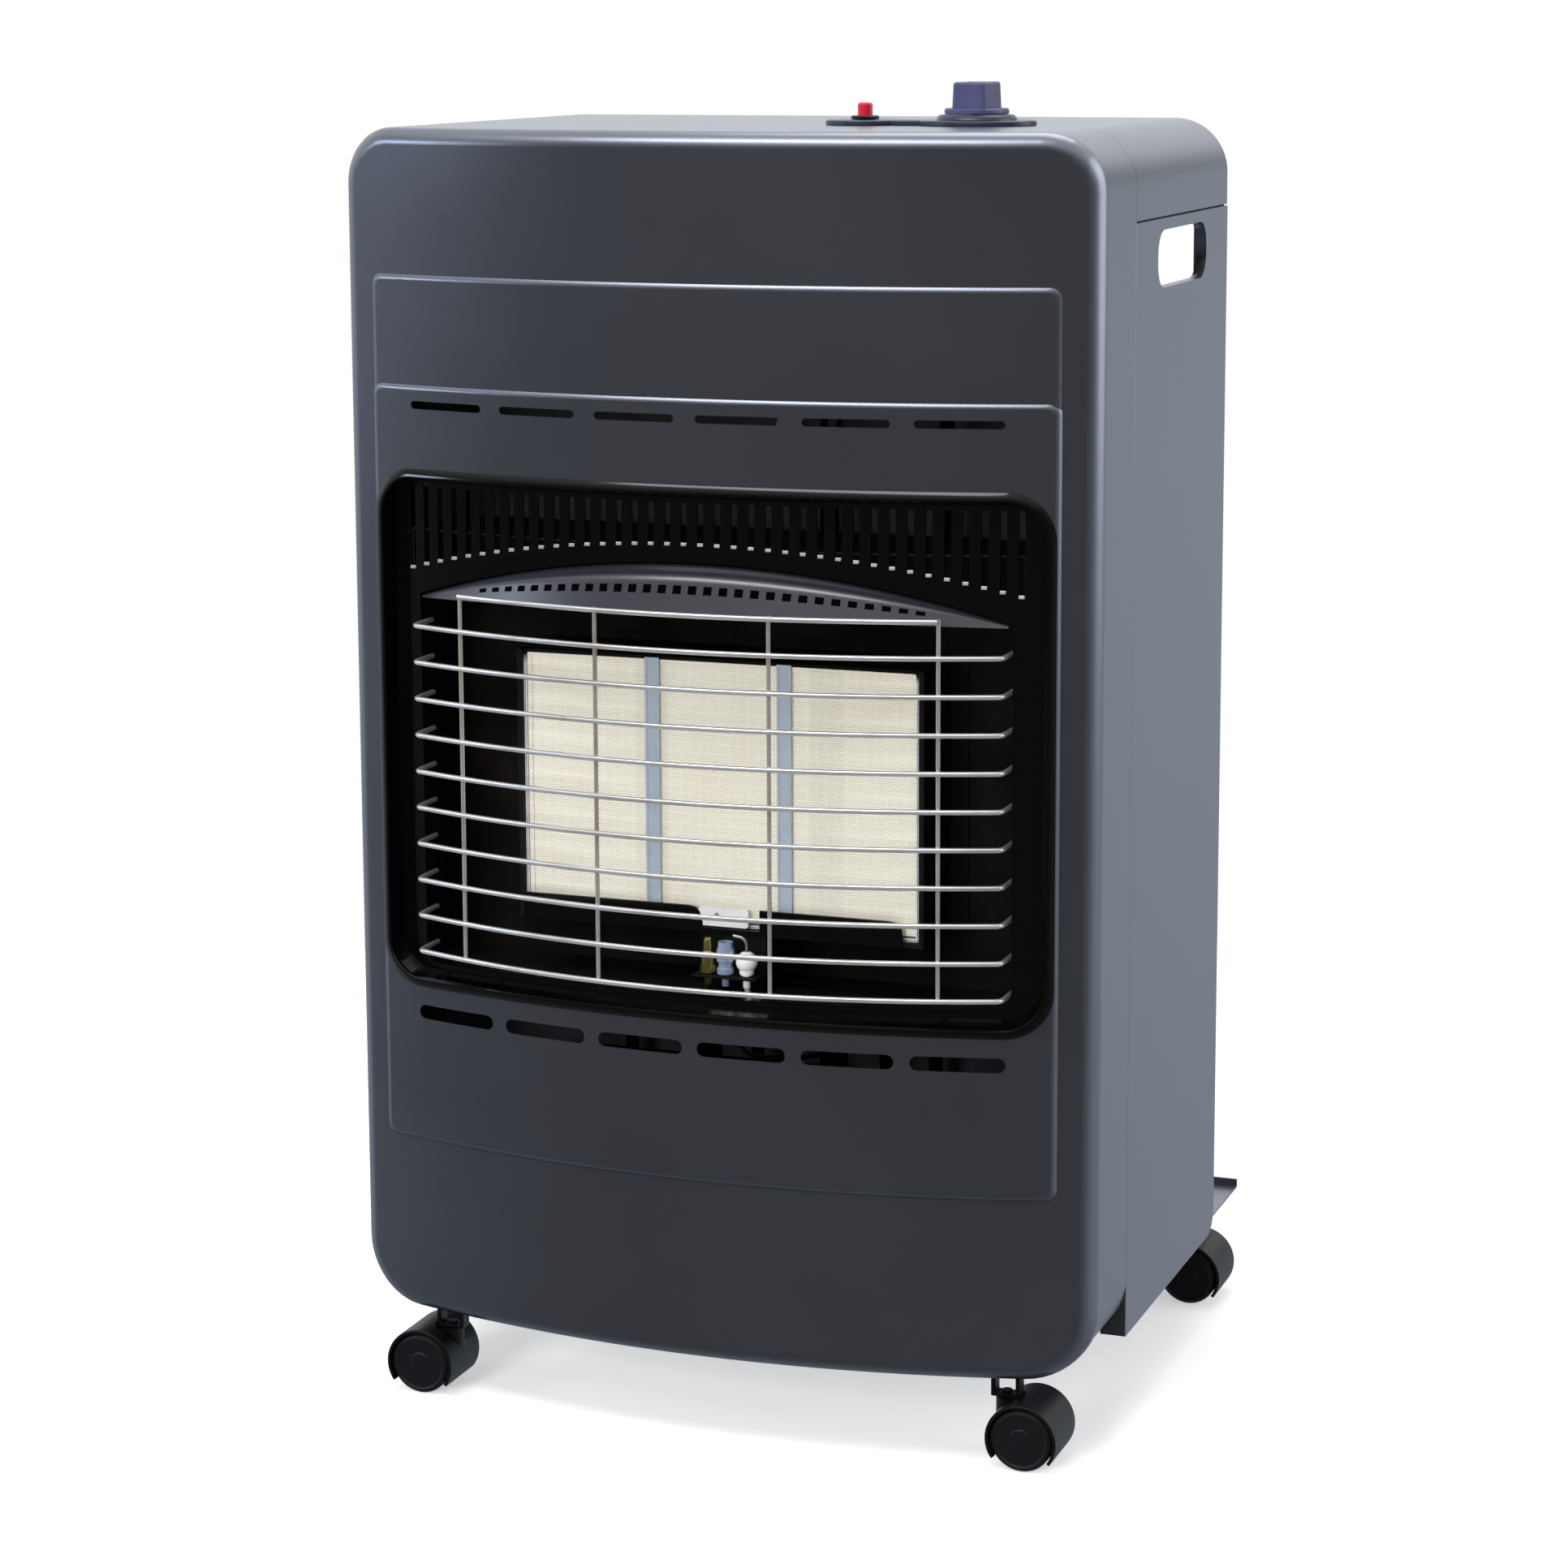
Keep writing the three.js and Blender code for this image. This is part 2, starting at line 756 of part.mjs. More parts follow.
// One full wire: the bow, then a bend at each end that meets a leg of the side frame.
function guardRow(height) {
  const legs = [[guardSide, guardCornerY + guardBend], [guardSide, guardJoinDepth - gap / 2]];
  const mirrored = legs.map(([x, y]) => [-x, y]).reverse();
  return levelWire([...mirrored, ...guardBow(guardCornerHalfWidth, 7), ...legs], height, guardWireRadius);
}

function fireguard() {
  const parts = guardRows.map(guardRow);
  const outer = guardUprights[guardUprights.length - 1];
  parts.push(levelWire(guardBow(outer, 6), guardTopRow, guardWireRadius));
  for (const x of guardUprights) {
    const depth = guardDepth(x) + 2 * guardWireRadius - weldSink;
    const top = guardTopRow + guardWireRadius;
    parts.push(rod([x, depth, guardLowRow], [x, depth, top], guardWireRadius, 6));
  }
  return joined(...parts);
}

// The frame that holds the guard at one edge of the opening: a leg behind each row and one upright.
function guardFrame(side) {
  const x = side * guardSide;
  const start = guardJoinDepth + gap / 2;
  const leg = [[x, start], [x, guardEndDepth]];
  const legs = guardRows.map((height) => levelWire(leg, height, guardWireRadius));
  const depth = guardEndDepth + guardWireRadius - weldSink;
  const low = guardRows[0] - guardWireRadius;
  const high = guardRows[guardRowCount - 1] + guardWireRadius;
  return joined(rod([x, depth, low], [x, depth, high], guardWireRadius, 6), ...legs);
}

// ---------------------------------------------------------------- reflector, burners, pilot

function reflectorBox() {
  const x = reflectorHalfWidth;
  const outer = block(-x, x, farFront, reflectorBack, reflectorBottom, reflectorTop);
  const inner = block(
    -x + sheet,
    x - sheet,
    farFront - 1,
    reflectorBack - sheet,
    reflectorBottom + sheet,
    reflectorTop - sheet,
  );
  const burnerHole = block(
    -burnerOuterX - gap,
    burnerOuterX + gap,
    reflectorBack - 5,
    reflectorBack + 5,
    burnerBottom - gap,
    burnerTop + gap,
  );
  const pilotHole = block(
    thermocoupleX - 8,
    electrodeX + 8,
    pilotDepth - 6,
    pilotDepth + 14,
    reflectorBottom - 5,
    reflectorBottom + 5,
  );
  const ahead = aheadOfBow(panelBackOffset - gap, reflectorBottom - 1, reflectorTop + 1);
  return without(outer, inner, burnerHole, pilotHole, ahead);
}

function burnerHousing(x) {
  const half = burnerWidth / 2;
  const back = reflectorBack + gap;
  const pocketHalf = plaqueWidth / 2 + gap;
  const pocketLow = burnerBottom + burnerRimHeight;
  const body = block(x - half, x + half, burnerFront, back, burnerBottom, burnerTop);
  const pocket = block(
    x - pocketHalf,
    x + pocketHalf,
    burnerFront - 1,
    back - burnerBackWall,
    pocketLow,
    burnerTop - burnerRimHeight,
  );
  const neck = block(
    x - mixingTubeRadius,
    x + mixingTubeRadius,
    back - burnerBackWall,
    mixingTubeDepth,
    mixingTubeTop - mixingNeckHeight,
    mixingTubeTop,
  );
  const tubeFoot = [x, mixingTubeDepth, mixingTubeBottom];
  const tube = rod(tubeFoot, [x, mixingTubeDepth, mixingTubeTop], mixingTubeRadius, 16);
  const bore = rod(
    [x, mixingTubeDepth, mixingTubeBottom - 1],
    [x, mixingTubeDepth, mixingTubeTop - 4],
    mixingTubeRadius - sheet,
    16,
  );
  return without(joined(body, neck, tube), pocket, bore);
}

function ceramicPlaque(x) {
  const front = burnerFront + plaqueRecess;
  const low = burnerBottom + burnerRimHeight + gap;
  const half = plaqueWidth / 2;
  return block(x - half, x + half, front, front + plaqueThickness, low, low + plaqueHeight);
}

// A shelf under the three burners with a cheek and a fixing flange at each end.
function burnerBracket() {
  const inner = burnerOuterX + gap;
  const outer = inner + bracketSheet;
  const front = burnerFront - 2;
  const back = reflectorBack - sheet - gap;
  const parts = [block(-outer, outer, front, back, shelfBottom, shelfTop)];
  for (const side of [-1, 1]) {
    const xs = [side * inner, side * outer].sort((a, b) => a - b);
    const fs = [side * inner, side * (outer + bracketFlange)].sort((a, b) => a - b);
    parts.push(block(xs[0], xs[1], front, back, shelfBottom, burnerTop));
    parts.push(block(fs[0], fs[1], back - sheet, back, shelfBottom, burnerTop));
  }
  return joined(...parts);
}

// The black strip over the foot of the plaques, low in the middle where the pilot flame lights them.
function flameShield() {
  const end = burnerOuterX + gap;
  const back = burnerFront - 2 - gap;
  const low = shelfBottom;
  const shape = new THREE.Shape();
  const round = 8;
  shape.moveTo(-end, low);
  shape.lineTo(end - round, low);
  shape.lineTo(end - round, shieldTop - round);
  shape.quadraticCurveTo(end - round, shieldTop, end - 2 * round, shieldTop);
  shape.lineTo(shieldGapRight, shieldTop);
  shape.lineTo(shieldGapRight, shelfTop);
  shape.lineTo(shieldGapLeft, shelfTop);
  shape.quadraticCurveTo(shieldGapLeft, shieldTop, shieldGapLeft - round, shieldTop);
  shape.lineTo(-end, shieldTop);
  shape.closePath();
  return facing(shape, back - shieldSheet, back, 4);
}

// A small cranked plate under the burner shelf that carries the pilot, its probe and its spark.
function pilotBracket() {
  const x0 = thermocoupleX - 7;
  const x1 = electrodeX + 7;
  const top = shelfBottom - gap;
  const legFront = burnerFront - 2;
  const footTop = pilotPlateHeight + pilotSheet;
  const body = joined(
    block(x0, x1, legFront, legFront + 20, top - pilotSheet, top),
    block(x0, x1, legFront, legFront + pilotSheet, pilotPlateHeight, top),
    block(x0, x1, pilotDepth - 6, legFront + pilotSheet, pilotPlateHeight, footTop),
  );
  const holes = [thermocoupleX, pilotBurnerX, electrodeX].map((x) =>
    rod([x, pilotDepth, pilotPlateHeight - 3], [x, pilotDepth, footTop + 3], 2 + gap, 12),
  );
  return without(body, ...holes);
}

// A probe that stands on the pilot bracket: a tail through its hole, a collar and a body on top.
function probe(collarRadius, bodyRadius, tipRadius, bodyHeight, tipHeight) {
  const seat = pilotPlateHeight + pilotSheet + gap;
  return turned([
    [0, pilotPlateHeight - probeTail],
    [2, pilotPlateHeight - probeTail],
    [2, seat],
    [collarRadius, seat],
    [collarRadius, seat + 3],
    [bodyRadius, seat + 3],
    [bodyRadius, seat + bodyHeight],
    [tipRadius, seat + bodyHeight + 1],
    [tipRadius, seat + tipHeight],
    [0, seat + tipHeight],
  ], 10);
}

// ---------------------------------------------------------------- gas manifold and heat shield

function gasManifold() {
  const reach = burnerPitch + 35;
  const y = mixingTubeDepth;
  const z = manifoldHeight;
  const parts = [rod([-reach, y, z], [reach, y, z], manifoldRadius, 12)];
  const tip = mixingTubeBottom - injectorAirGap;
  for (const x of [-burnerPitch, 0, burnerPitch]) {
    parts.push(rod([x, y, z], [x, y, tip], injectorRadius, 8));
  }
  for (const x of [-burnerPitch / 2, burnerPitch / 2]) {
    parts.push(block(x - 8, x + 8, y, shieldWallDepth - gap, z - 1, z + 1));
    const tabFront = shieldWallDepth - gap - sheet;
    parts.push(block(x - 8, x + 8, tabFront, shieldWallDepth - gap, z - 12, z + 12));
  }
  return joined(...parts);
}

function heatShield() {
  const half = halfWidth - sheet - 2 * gap - sheet - gap;
  return block(-half, half, shieldWallDepth, shieldWallDepth + sheet, panTop + gap, shieldWallTop);
}

// ---------------------------------------------------------------- cap, side panels, pan

function topCap() {
  const low = capSkirtEdge + seamGap / 2;
  const front = seamDepth + gap;
  const outside = roundedRectangle(-halfWidth, halfWidth, low, bodyHeight, 0, topCornerRadius);
  const inside = roundedRectangle(
    -halfWidth + sheet,
    halfWidth - sheet,
    low - 1,
    bodyHeight - sheet,
    0,
    topCornerRadius - sheet,
  );
  const skin = facing(outside, front, rearEdge, 7).subtract(facing(inside, front - 1, rearEdge + 1, 7));
  const rearFlange = facing(outside, rearEdge - sheet, rearEdge, 7).subtract(
    block(-halfWidth, halfWidth, rearEdge - 5, rearEdge + 5, low - 5, bodyHeight - capRearFlange),
  );
  const spindleHole = rod(
    [knobX, controlDepth, capUnderside - 5],
    [knobX, controlDepth, bodyHeight + 5],
    spindleRadius + 2 * gap,
    16,
  );
  const neckHole = rod(
    [buttonX, controlDepth, capUnderside - 5],
    [buttonX, controlDepth, bodyHeight + 5],
    piezoNeckRadius + gap,
    16,
  );
  return without(joined(skin, rearFlange), spindleHole, neckHole);
}

// The right-hand panel; the left-hand one is its mirror image.
function sidePanel(side) {
  const high = capSkirtEdge - seamGap / 2;
  const front = seamDepth + gap;
  const outline = new THREE.Shape();
  outline.moveTo(front, 0);
  outline.lineTo(rearEdge - sideRearCorner, 0);
  outline.absarc(rearEdge - sideRearCorner, sideRearCorner, sideRearCorner, -Math.PI / 2, 0);
  outline.lineTo(rearEdge, high);
  outline.lineTo(front, high);
  outline.closePath();
  const inner = halfWidth - sheet;
  const skin = crossing(outline, inner, halfWidth, 6);
  const clearOfPan = panTop + panSideFlange + gap;
  const flanges = [
    block(halfWidth - sideFrontFlange, halfWidth, front, front + sheet, 0, high),
    block(halfWidth - sideRearFlange, halfWidth, rearEdge - sheet, rearEdge, clearOfPan, high),
    block(halfWidth - sideBottomFlange, halfWidth, front, rearEdge - sideRearCorner, 0, sheet),
  ];
  const hole = roundedRectangle(handleFront, handleRear, handleBottom, handleTop, handleCornerRadius);
  const right = joined(skin, ...flanges).subtract(crossing(hole, inner - 5, halfWidth + 5, 5));
  return side > 0 ? right : right.mirror([1, 0, 0]);
}

function basePan() {
  const wide = halfWidth - sheet - gap;
  const narrow = halfWidth - sideFrontFlange - gap;
  const front = seamDepth + gap + sheet + gap;
  const noseHalf = frontCasterX + panNoseMargin;
  const plan = new THREE.Shape();
  plan.moveTo(-noseHalf, panFrontDepth);
  plan.lineTo(noseHalf, panFrontDepth);
  plan.lineTo(narrow, panFrontDepth + panNoseChamfer);
  plan.lineTo(narrow, front);
  plan.lineTo(wide, front);
  plan.lineTo(wide, rearEdge - sideRearCorner);
  plan.lineTo(panRearHalfWidth, rearEdge);
  plan.lineTo(panRearHalfWidth, panRearDepth);
  plan.lineTo(-panRearHalfWidth, panRearDepth);
  plan.lineTo(-panRearHalfWidth, rearEdge);
  plan.lineTo(-wide, rearEdge - sideRearCorner);
  plan.lineTo(-wide, front);
  plan.lineTo(-narrow, front);
  plan.lineTo(-narrow, panFrontDepth + panNoseChamfer);
  plan.closePath();
  const parts = [standing(plan, panFloor, panTop)];
  const back = rearEdge - sideRearCorner;
  for (const side of [-1, 1]) {
    const xs = [side * wide, side * (wide - sheet)].sort((a, b) => a - b);
    parts.push(block(xs[0], xs[1], front, back, panFloor, panTop + panSideFlange));
  }
  const lipFront = panRearDepth - sheet;
  const lipTop = panTop + panRearLip;
  const flangeTop = panTop + panSideFlange;
  parts.push(block(-panRearHalfWidth, panRearHalfWidth, lipFront, panRearDepth, panFloor, lipTop));
  parts.push(block(-noseHalf, noseHalf, panFrontDepth, panFrontDepth + sheet, panFloor, flangeTop));
  return joined(...parts);
}

// ---------------------------------------------------------------- controls

function controlPlate() {
  const shape = new THREE.Shape();
  shape.absellipse(knobX, controlDepth, plateRightHalfWidth, plateRightHalfDepth, 0, 2 * Math.PI);
  const right = standing(shape, plateBottom, plateTop, 10);
  const left = standing(circle(buttonX, controlDepth, plateLeftRadius), plateBottom, plateTop, 8);
  const waist = block(
    buttonX,
    knobX,
    controlDepth - plateWaistHalfDepth,
    controlDepth + plateWaistHalfDepth,
    plateBottom,
    plateTop,
  );
  const spindleHole = rod(
    [knobX, controlDepth, plateBottom - 3],
    [knobX, controlDepth, plateTop + 3],
    spindleRadius + 2 * gap,
    16,
  );
  const neckHole = rod(
    [buttonX, controlDepth, plateBottom - 3],
    [buttonX, controlDepth, plateTop + 3],
    piezoNeckRadius + gap,
    16,
  );
  return without(joined(right, left, waist), spindleHole, neckHole);
}

function gasValve() {
  const x0 = knobX - valveWidth / 2;
  const y0 = controlDepth - valveLength / 2;
  const body = block(x0, x0 + valveWidth, y0, y0 + valveLength, valveBottom, valveTop - 8);
  const neck = rod([knobX, controlDepth, valveTop - 9], [knobX, controlDepth, valveTop], 11, 16);
  const bore = rod(
    [knobX, controlDepth, valveTop - 26],
    [knobX, controlDepth, valveTop + 2],
    spindleRadius + gap,
    16,
  );
  return joined(body, neck).subtract(bore);
}

function valveSpindle() {
  const low = valveTop - 26 + gap;
  return rod([knobX, controlDepth, low], [knobX, controlDepth, spindleTop], spindleRadius, 12);
}

function controlKnob() {
  const skirt = rod(
    [knobX, controlDepth, knobSkirtBottom],
    [knobX, controlDepth, knobSkirtBottom + knobSkirtHeight],
    knobSkirtRadius,
    24,
  );
  const bar = roundedRectangle(
    knobX - knobBarWidth / 2,
    knobX + knobBarWidth / 2,
    controlDepth - knobBarLength / 2,
    controlDepth + knobBarLength / 2,
    2,
  );
  const grip = standing(bar, knobSkirtBottom + 1, knobTop, 3);
  const bore = rod(
    [knobX, controlDepth, knobSkirtBottom - 1],
    [knobX, controlDepth, spindleTop + knobHeadroom],
    spindleRadius + gap,
    16,
  );
  return joined(skirt, grip).subtract(bore);
}

function piezoIgniter() {
  const bore = buttonRadius + gap;
  const boreFloor = plateTop + piezoCollarHeight - 16;
  const body = turned([
    [0, piezoBottom],
    [piezoRadius, piezoBottom],
    [piezoRadius, capUnderside - gap],
    [piezoNeckRadius, capUnderside - gap],
    [piezoNeckRadius, plateTop + gap],
    [piezoCollarRadius, plateTop + gap],
    [piezoCollarRadius, plateTop + gap + piezoCollarHeight],
    [bore, plateTop + gap + piezoCollarHeight],
    [bore, boreFloor],
    [0, boreFloor],
  ]);
  return body.translate([buttonX, controlDepth, 0]);
}

function igniterButton() {
  const floor = plateTop + piezoCollarHeight - 16;
  const low = floor + buttonTravel + gap;
  const top = plateTop + buttonStand;
  const body = turned([
    [0, low],
    [buttonRadius, low],
    [buttonRadius, top - 1],
    [buttonRadius - 1, top],
    [0, top],
  ]);
  return body.translate([buttonX, controlDepth, 0]);
}

// The brass hose tail on the back of the valve, inside the bottle bay.
function hoseNozzle() {
  const barb = nozzleLength - 18;
  const profile = [
    [nozzleBore, 0],
    [nozzleRadius + 3, 0],
    [nozzleRadius + 3, 8],
    [nozzleRadius, 8],
    [nozzleRadius, barb],
    [nozzleBarbRadius, barb],
    [nozzleRadius, barb + 6],
    [nozzleBarbRadius, barb + 6],
    [nozzleRadius, barb + 12],
    [nozzleRadius, nozzleLength],
    [nozzleBore, nozzleLength],
    [nozzleBore, 0],
  ];
  const points = profile.map(([radius, along]) => new THREE.Vector2(radius, along));
  const geometry = new THREE.LatheGeometry(points, 16);
  const rear = controlDepth + valveLength / 2 + gap;
  geometry.translate(knobX, rear, valveBottom + valveHeight / 3);
  return solidOf(geometry);
}

// ---------------------------------------------------------------- gas lines and leads

function feedPipe() {
  const foot = manifoldHeight + manifoldRadius + gap;
  const footX = burnerPitch + 28;
  return swept([
    [footX, mixingTubeDepth, foot],
    [footX, mixingTubeDepth, foot + 25],
    [lineX.feed, lineDepth, foot + 70],
    [lineX.feed, lineDepth, shieldWallTop - 10],
    [knobX + 6, controlDepth, valveBottom - 16],
    [knobX + 6, controlDepth, valveBottom - gap],
  ], feedPipeRadius, 8, 20);
}

// A line from the pilot group, under the reflector and up behind the burners, to its end points.
function risingLine(startX, riseX, drop, end, radius) {
  const start = pilotPlateHeight - probeTail - gap;
  const low = reflectorBottom - drop;
  return swept([
    [startX, pilotDepth, start],
    [startX, pilotDepth, start - 8],
    [startX + (riseX - startX) * 0.3, pilotDepth + 14, low],
    [riseX, lineDepth - 20, low],
    [riseX, lineDepth, low + 24],
    [riseX, lineDepth, shieldWallTop - 20],
    ...end,
  ], radius, 5, 24);
}

function pilotPipe() {
  const side = knobX - valveWidth / 2 - gap;
  const z = valveBottom + 14;
  return risingLine(pilotBurnerX, lineX.pilot, 24, [
    [side - 22, lineDepth + 6, z - 26],
    [side - 16, controlDepth, z],
    [side, controlDepth, z],
  ], pilotPipeRadius);
}

function thermocoupleLead() {
  const x = knobX - 8;
  return risingLine(thermocoupleX, lineX.thermocouple, 34, [
    [x, controlDepth, valveBottom - 16],
    [x, controlDepth, valveBottom - gap],
  ], thermoLeadRadius);
}

function ignitionLead() {
  return risingLine(electrodeX, lineX.ignition, 14, [
    [buttonX, controlDepth, piezoBottom - 16],
    [buttonX, controlDepth, piezoBottom - gap],
  ], ignitionLeadRadius);
}

// ---------------------------------------------------------------- casters
// A caster is drawn with its stem on the Z axis and its wheels trailing towards +X.

function casterStrap() {
  const top = panFloor - gap;
  const plateLow = top - strapPlateThickness;
  const legs = [-1, 1].map((side) => {
    const xs = [side * strapHalfWidth, side * (strapHalfWidth - strapLegWidth)].sort((a, b) => a - b);
    return block(xs[0], xs[1], -strapHalfDepth, strapHalfDepth, strapFoot, plateLow + 0.5);
  });
  const plateX = strapPlateHalfWidth;
  const plateY = strapPlateHalfDepth;
  const body = joined(
    block(-plateX, plateX, -plateY, plateY, plateLow, top),
    ...legs,
    block(-strapHalfWidth, strapHalfWidth, -strapHalfDepth, strapHalfDepth, strapFoot, strapFoot + strapWeb),
  );
  return body.subtract(rod([0, 0, strapFoot - 2], [0, 0, strapFoot + strapWeb + 2], stemRadius + gap, 12));
}

function casterFork() {
  const inner = hoodRadius - hoodSheet;
  const low = THREE.MathUtils.degToRad(hoodLowAngle);
  const sector = new THREE.Shape();
  sector.absarc(0, 0, hoodRadius, low, Math.PI - low, false);
  sector.absarc(0, 0, inner, Math.PI - low, low, true);
  sector.closePath();
  const hood = facing(sector, -hoodHalfWidth, hoodHalfWidth, 7);
  const web = facing(circle(0, 0, inner - 1), -casterWebHalfWidth, casterWebHalfWidth, 5);
  const link = block(-4, 4, -casterWebHalfWidth, casterWebHalfWidth, 10, inner + 0.5);
  const wheelHouse = joined(hood, web, link).translate([casterTrail, 0, wheelCentre]);
  const seat = strapFoot - gap;
  const swing = Math.hypot(strapHalfWidth, strapHalfDepth) + gap;
  const strapRoom = rod([0, 0, seat], [0, 0, 10], swing / Math.cos(Math.PI / 12), 12);
  const neck = rod([0, 0, wheelCentre], [0, 0, seat], neckRadius, 10);
  const headSeat = strapFoot + strapWeb + gap;
  const stem = rod([0, 0, seat - 2], [0, 0, headSeat + 1], stemRadius, 8);
  const head = rod([0, 0, headSeat], [0, 0, headSeat + stemHeadHeight], stemHeadRadius, 8);
  const bore = rod(
    [casterTrail, -hoodHalfWidth, wheelCentre],
    [casterTrail, hoodHalfWidth, wheelCentre],
    axleRadius + gap,
    8,
  );
  return joined(without(joined(wheelHouse, neck), strapRoom), stem, head).subtract(bore);
}

function casterAxle() {
  return rod(
    [casterTrail, -axleHalfLength, wheelCentre],
    [casterTrail, axleHalfLength, wheelCentre],
    axleRadius,
    8,
  );
}

// One wheel, solid on its outer face, with a blind bore for the axle on its inner face.
function casterWheel(side) {
  const inner = casterWebHalfWidth + gap;
  const outer = inner + wheelWidth;
  const bore = axleRadius + gap;
  const round = 1.5;
  const profile = [
    [0, axleHalfLength + gap],
    [bore, axleHalfLength + gap],
    [bore, inner],
    [wheelRadius, inner],
    [wheelRadius, outer - round],
    [wheelRadius - round, outer],
    [0, outer],
  ];
  const points = profile.map(([radius, along]) => new THREE.Vector2(radius, along));
  const geometry = new THREE.LatheGeometry(points, 16);
  geometry.rotateZ(side > 0 ? 0 : Math.PI);
  geometry.translate(casterTrail, 0, wheelCentre);
  return solidOf(geometry);
}

const casters = [
  { name: "front_left", x: -frontCasterX, y: frontCasterY, turn: Math.PI },
  { name: "front_right", x: frontCasterX, y: frontCasterY, turn: 0 },
  { name: "rear_left", x: -rearCasterX, y: rearCasterY, turn: Math.PI },
  { name: "rear_right", x: rearCasterX, y: rearCasterY, turn: 0 },
];

// ---------------------------------------------------------------- assembly

const cabinet = new THREE.Group();

function place(name, solid, material, parent = cabinet) {
  const mesh = new THREE.Mesh(geometryOf(solid), material);
  mesh.name = name;
  parent.add(mesh);
}

place("front_panel", frontPanel(), bodyPaint);
place("window_surround", windowSurround(), glossBlack);
place("visor_hood", visorHood(), glossBlack);
place("fireguard", fireguard(), guardChrome);
place("guard_frame_left", guardFrame(-1), guardChrome);
place("guard_frame_right", guardFrame(1), guardChrome);
place("reflector_box", reflectorBox(), darkSteel);

const burners = [
  { name: "left", x: -burnerPitch },
  { name: "centre", x: 0 },
  { name: "right", x: burnerPitch },
];
for (const { name, x } of burners) {
  place(`burner_housing_${name}`, burnerHousing(x), burnerSteel);
  place(`ceramic_plaque_${name}`, ceramicPlaque(x), ceramic);
}
place("burner_bracket", burnerBracket(), burnerSteel);
place("flame_shield", flameShield(), glossBlack);

place("pilot_bracket", pilotBracket(), galvanised);
const probes = [
  { name: "thermocouple", x: thermocoupleX, solid: probe(3.4, 2.6, 1.6, 9, 16), material: brass },
  { name: "pilot_burner", x: pilotBurnerX, solid: probe(4, 3.6, 3, 14, 17), material: galvanised },
  { name: "ignition_electrode", x: electrodeX, solid: probe(4.6, 3.8, 1, 10, 19), material: whiteCeramic },
];
for (const { name, x, solid, material } of probes) {
  place(name, solid.translate([x, pilotDepth, 0]), material);
}

place("gas_manifold", gasManifold(), brass);
place("heat_shield", heatShield(), galvanised);
place("top_cap", topCap(), bodyPaint);
place("side_panel_left", sidePanel(-1), bodyPaint);
place("side_panel_right", sidePanel(1), bodyPaint);
place("base_pan", basePan(), bodyPaint);

place("control_plate", controlPlate(), darkPlate);
place("gas_valve", gasValve(), brass);
place("valve_spindle", valveSpindle(), brass);
place("control_knob", controlKnob(), bluePlastic);
place("piezo_igniter", piezoIgniter(), blackPlastic);
place("igniter_button", igniterButton(), redPlastic);
place("hose_nozzle", hoseNozzle(), brass);
place("feed_pipe", feedPipe(), copper);
place("pilot_pipe", pilotPipe(), copper);
place("thermocouple_lead", thermocoupleLead(), copper);
place("ignition_lead", ignitionLead(), leadRubber);

for (const { name, x, y, turn } of casters) {
  const group = new THREE.Group();
  group.position.set(x, y, 0);
  group.rotation.z = turn;
  place(`caster_strap_${name}`, casterStrap(), galvanised, group);
  place(`caster_fork_${name}`, casterFork(), blackPlastic, group);
  place(`caster_axle_${name}`, casterAxle(), burnerSteel, group);
  place(`caster_wheel_${name}_a`, casterWheel(-1), wheelPlastic, group);
  place(`caster_wheel_${name}_b`, casterWheel(1), wheelPlastic, group);
  cabinet.add(group);
}

const frontmost = guardDepth(0) - guardWireRadius;
cabinet.position.set(0, -(frontmost + panRearDepth) / 2, undersideHeight);

const heater = new THREE.Group();
heater.add(cabinet);

export default heater;
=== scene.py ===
import math

import bpy
from mathutils import Matrix, Vector


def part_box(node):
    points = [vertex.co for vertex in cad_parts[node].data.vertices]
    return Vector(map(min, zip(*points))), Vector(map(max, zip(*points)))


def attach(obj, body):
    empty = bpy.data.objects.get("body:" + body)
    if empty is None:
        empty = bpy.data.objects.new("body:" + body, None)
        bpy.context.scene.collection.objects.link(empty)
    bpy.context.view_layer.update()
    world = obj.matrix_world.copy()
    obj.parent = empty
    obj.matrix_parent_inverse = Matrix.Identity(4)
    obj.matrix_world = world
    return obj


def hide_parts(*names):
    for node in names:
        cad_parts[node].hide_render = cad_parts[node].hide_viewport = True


bl_info = {
    "name": "Gas Cabinet Heater",
    "version": (1, 0, 0),
    "blender": (4, 5, 0),
    "location": "View3D > Sidebar > Heater",
    "description": "Builds the detailed pieces, finishes and stage of a gas cabinet heater",
    "category": "Object",
}

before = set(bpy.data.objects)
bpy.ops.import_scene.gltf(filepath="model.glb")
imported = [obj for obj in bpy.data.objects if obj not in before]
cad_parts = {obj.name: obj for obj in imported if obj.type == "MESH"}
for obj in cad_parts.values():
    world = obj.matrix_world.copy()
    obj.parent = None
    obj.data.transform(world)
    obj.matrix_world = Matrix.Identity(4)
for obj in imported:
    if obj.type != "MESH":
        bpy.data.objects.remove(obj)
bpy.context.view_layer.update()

# ---------------------------------------------------------------- sizes
# Shapes are drawn in millimetres, with X across, Y from the chord of the bowed face towards the
# rear and Z up from the underside of the cabinet. HOME is where that zero lies in the frame.

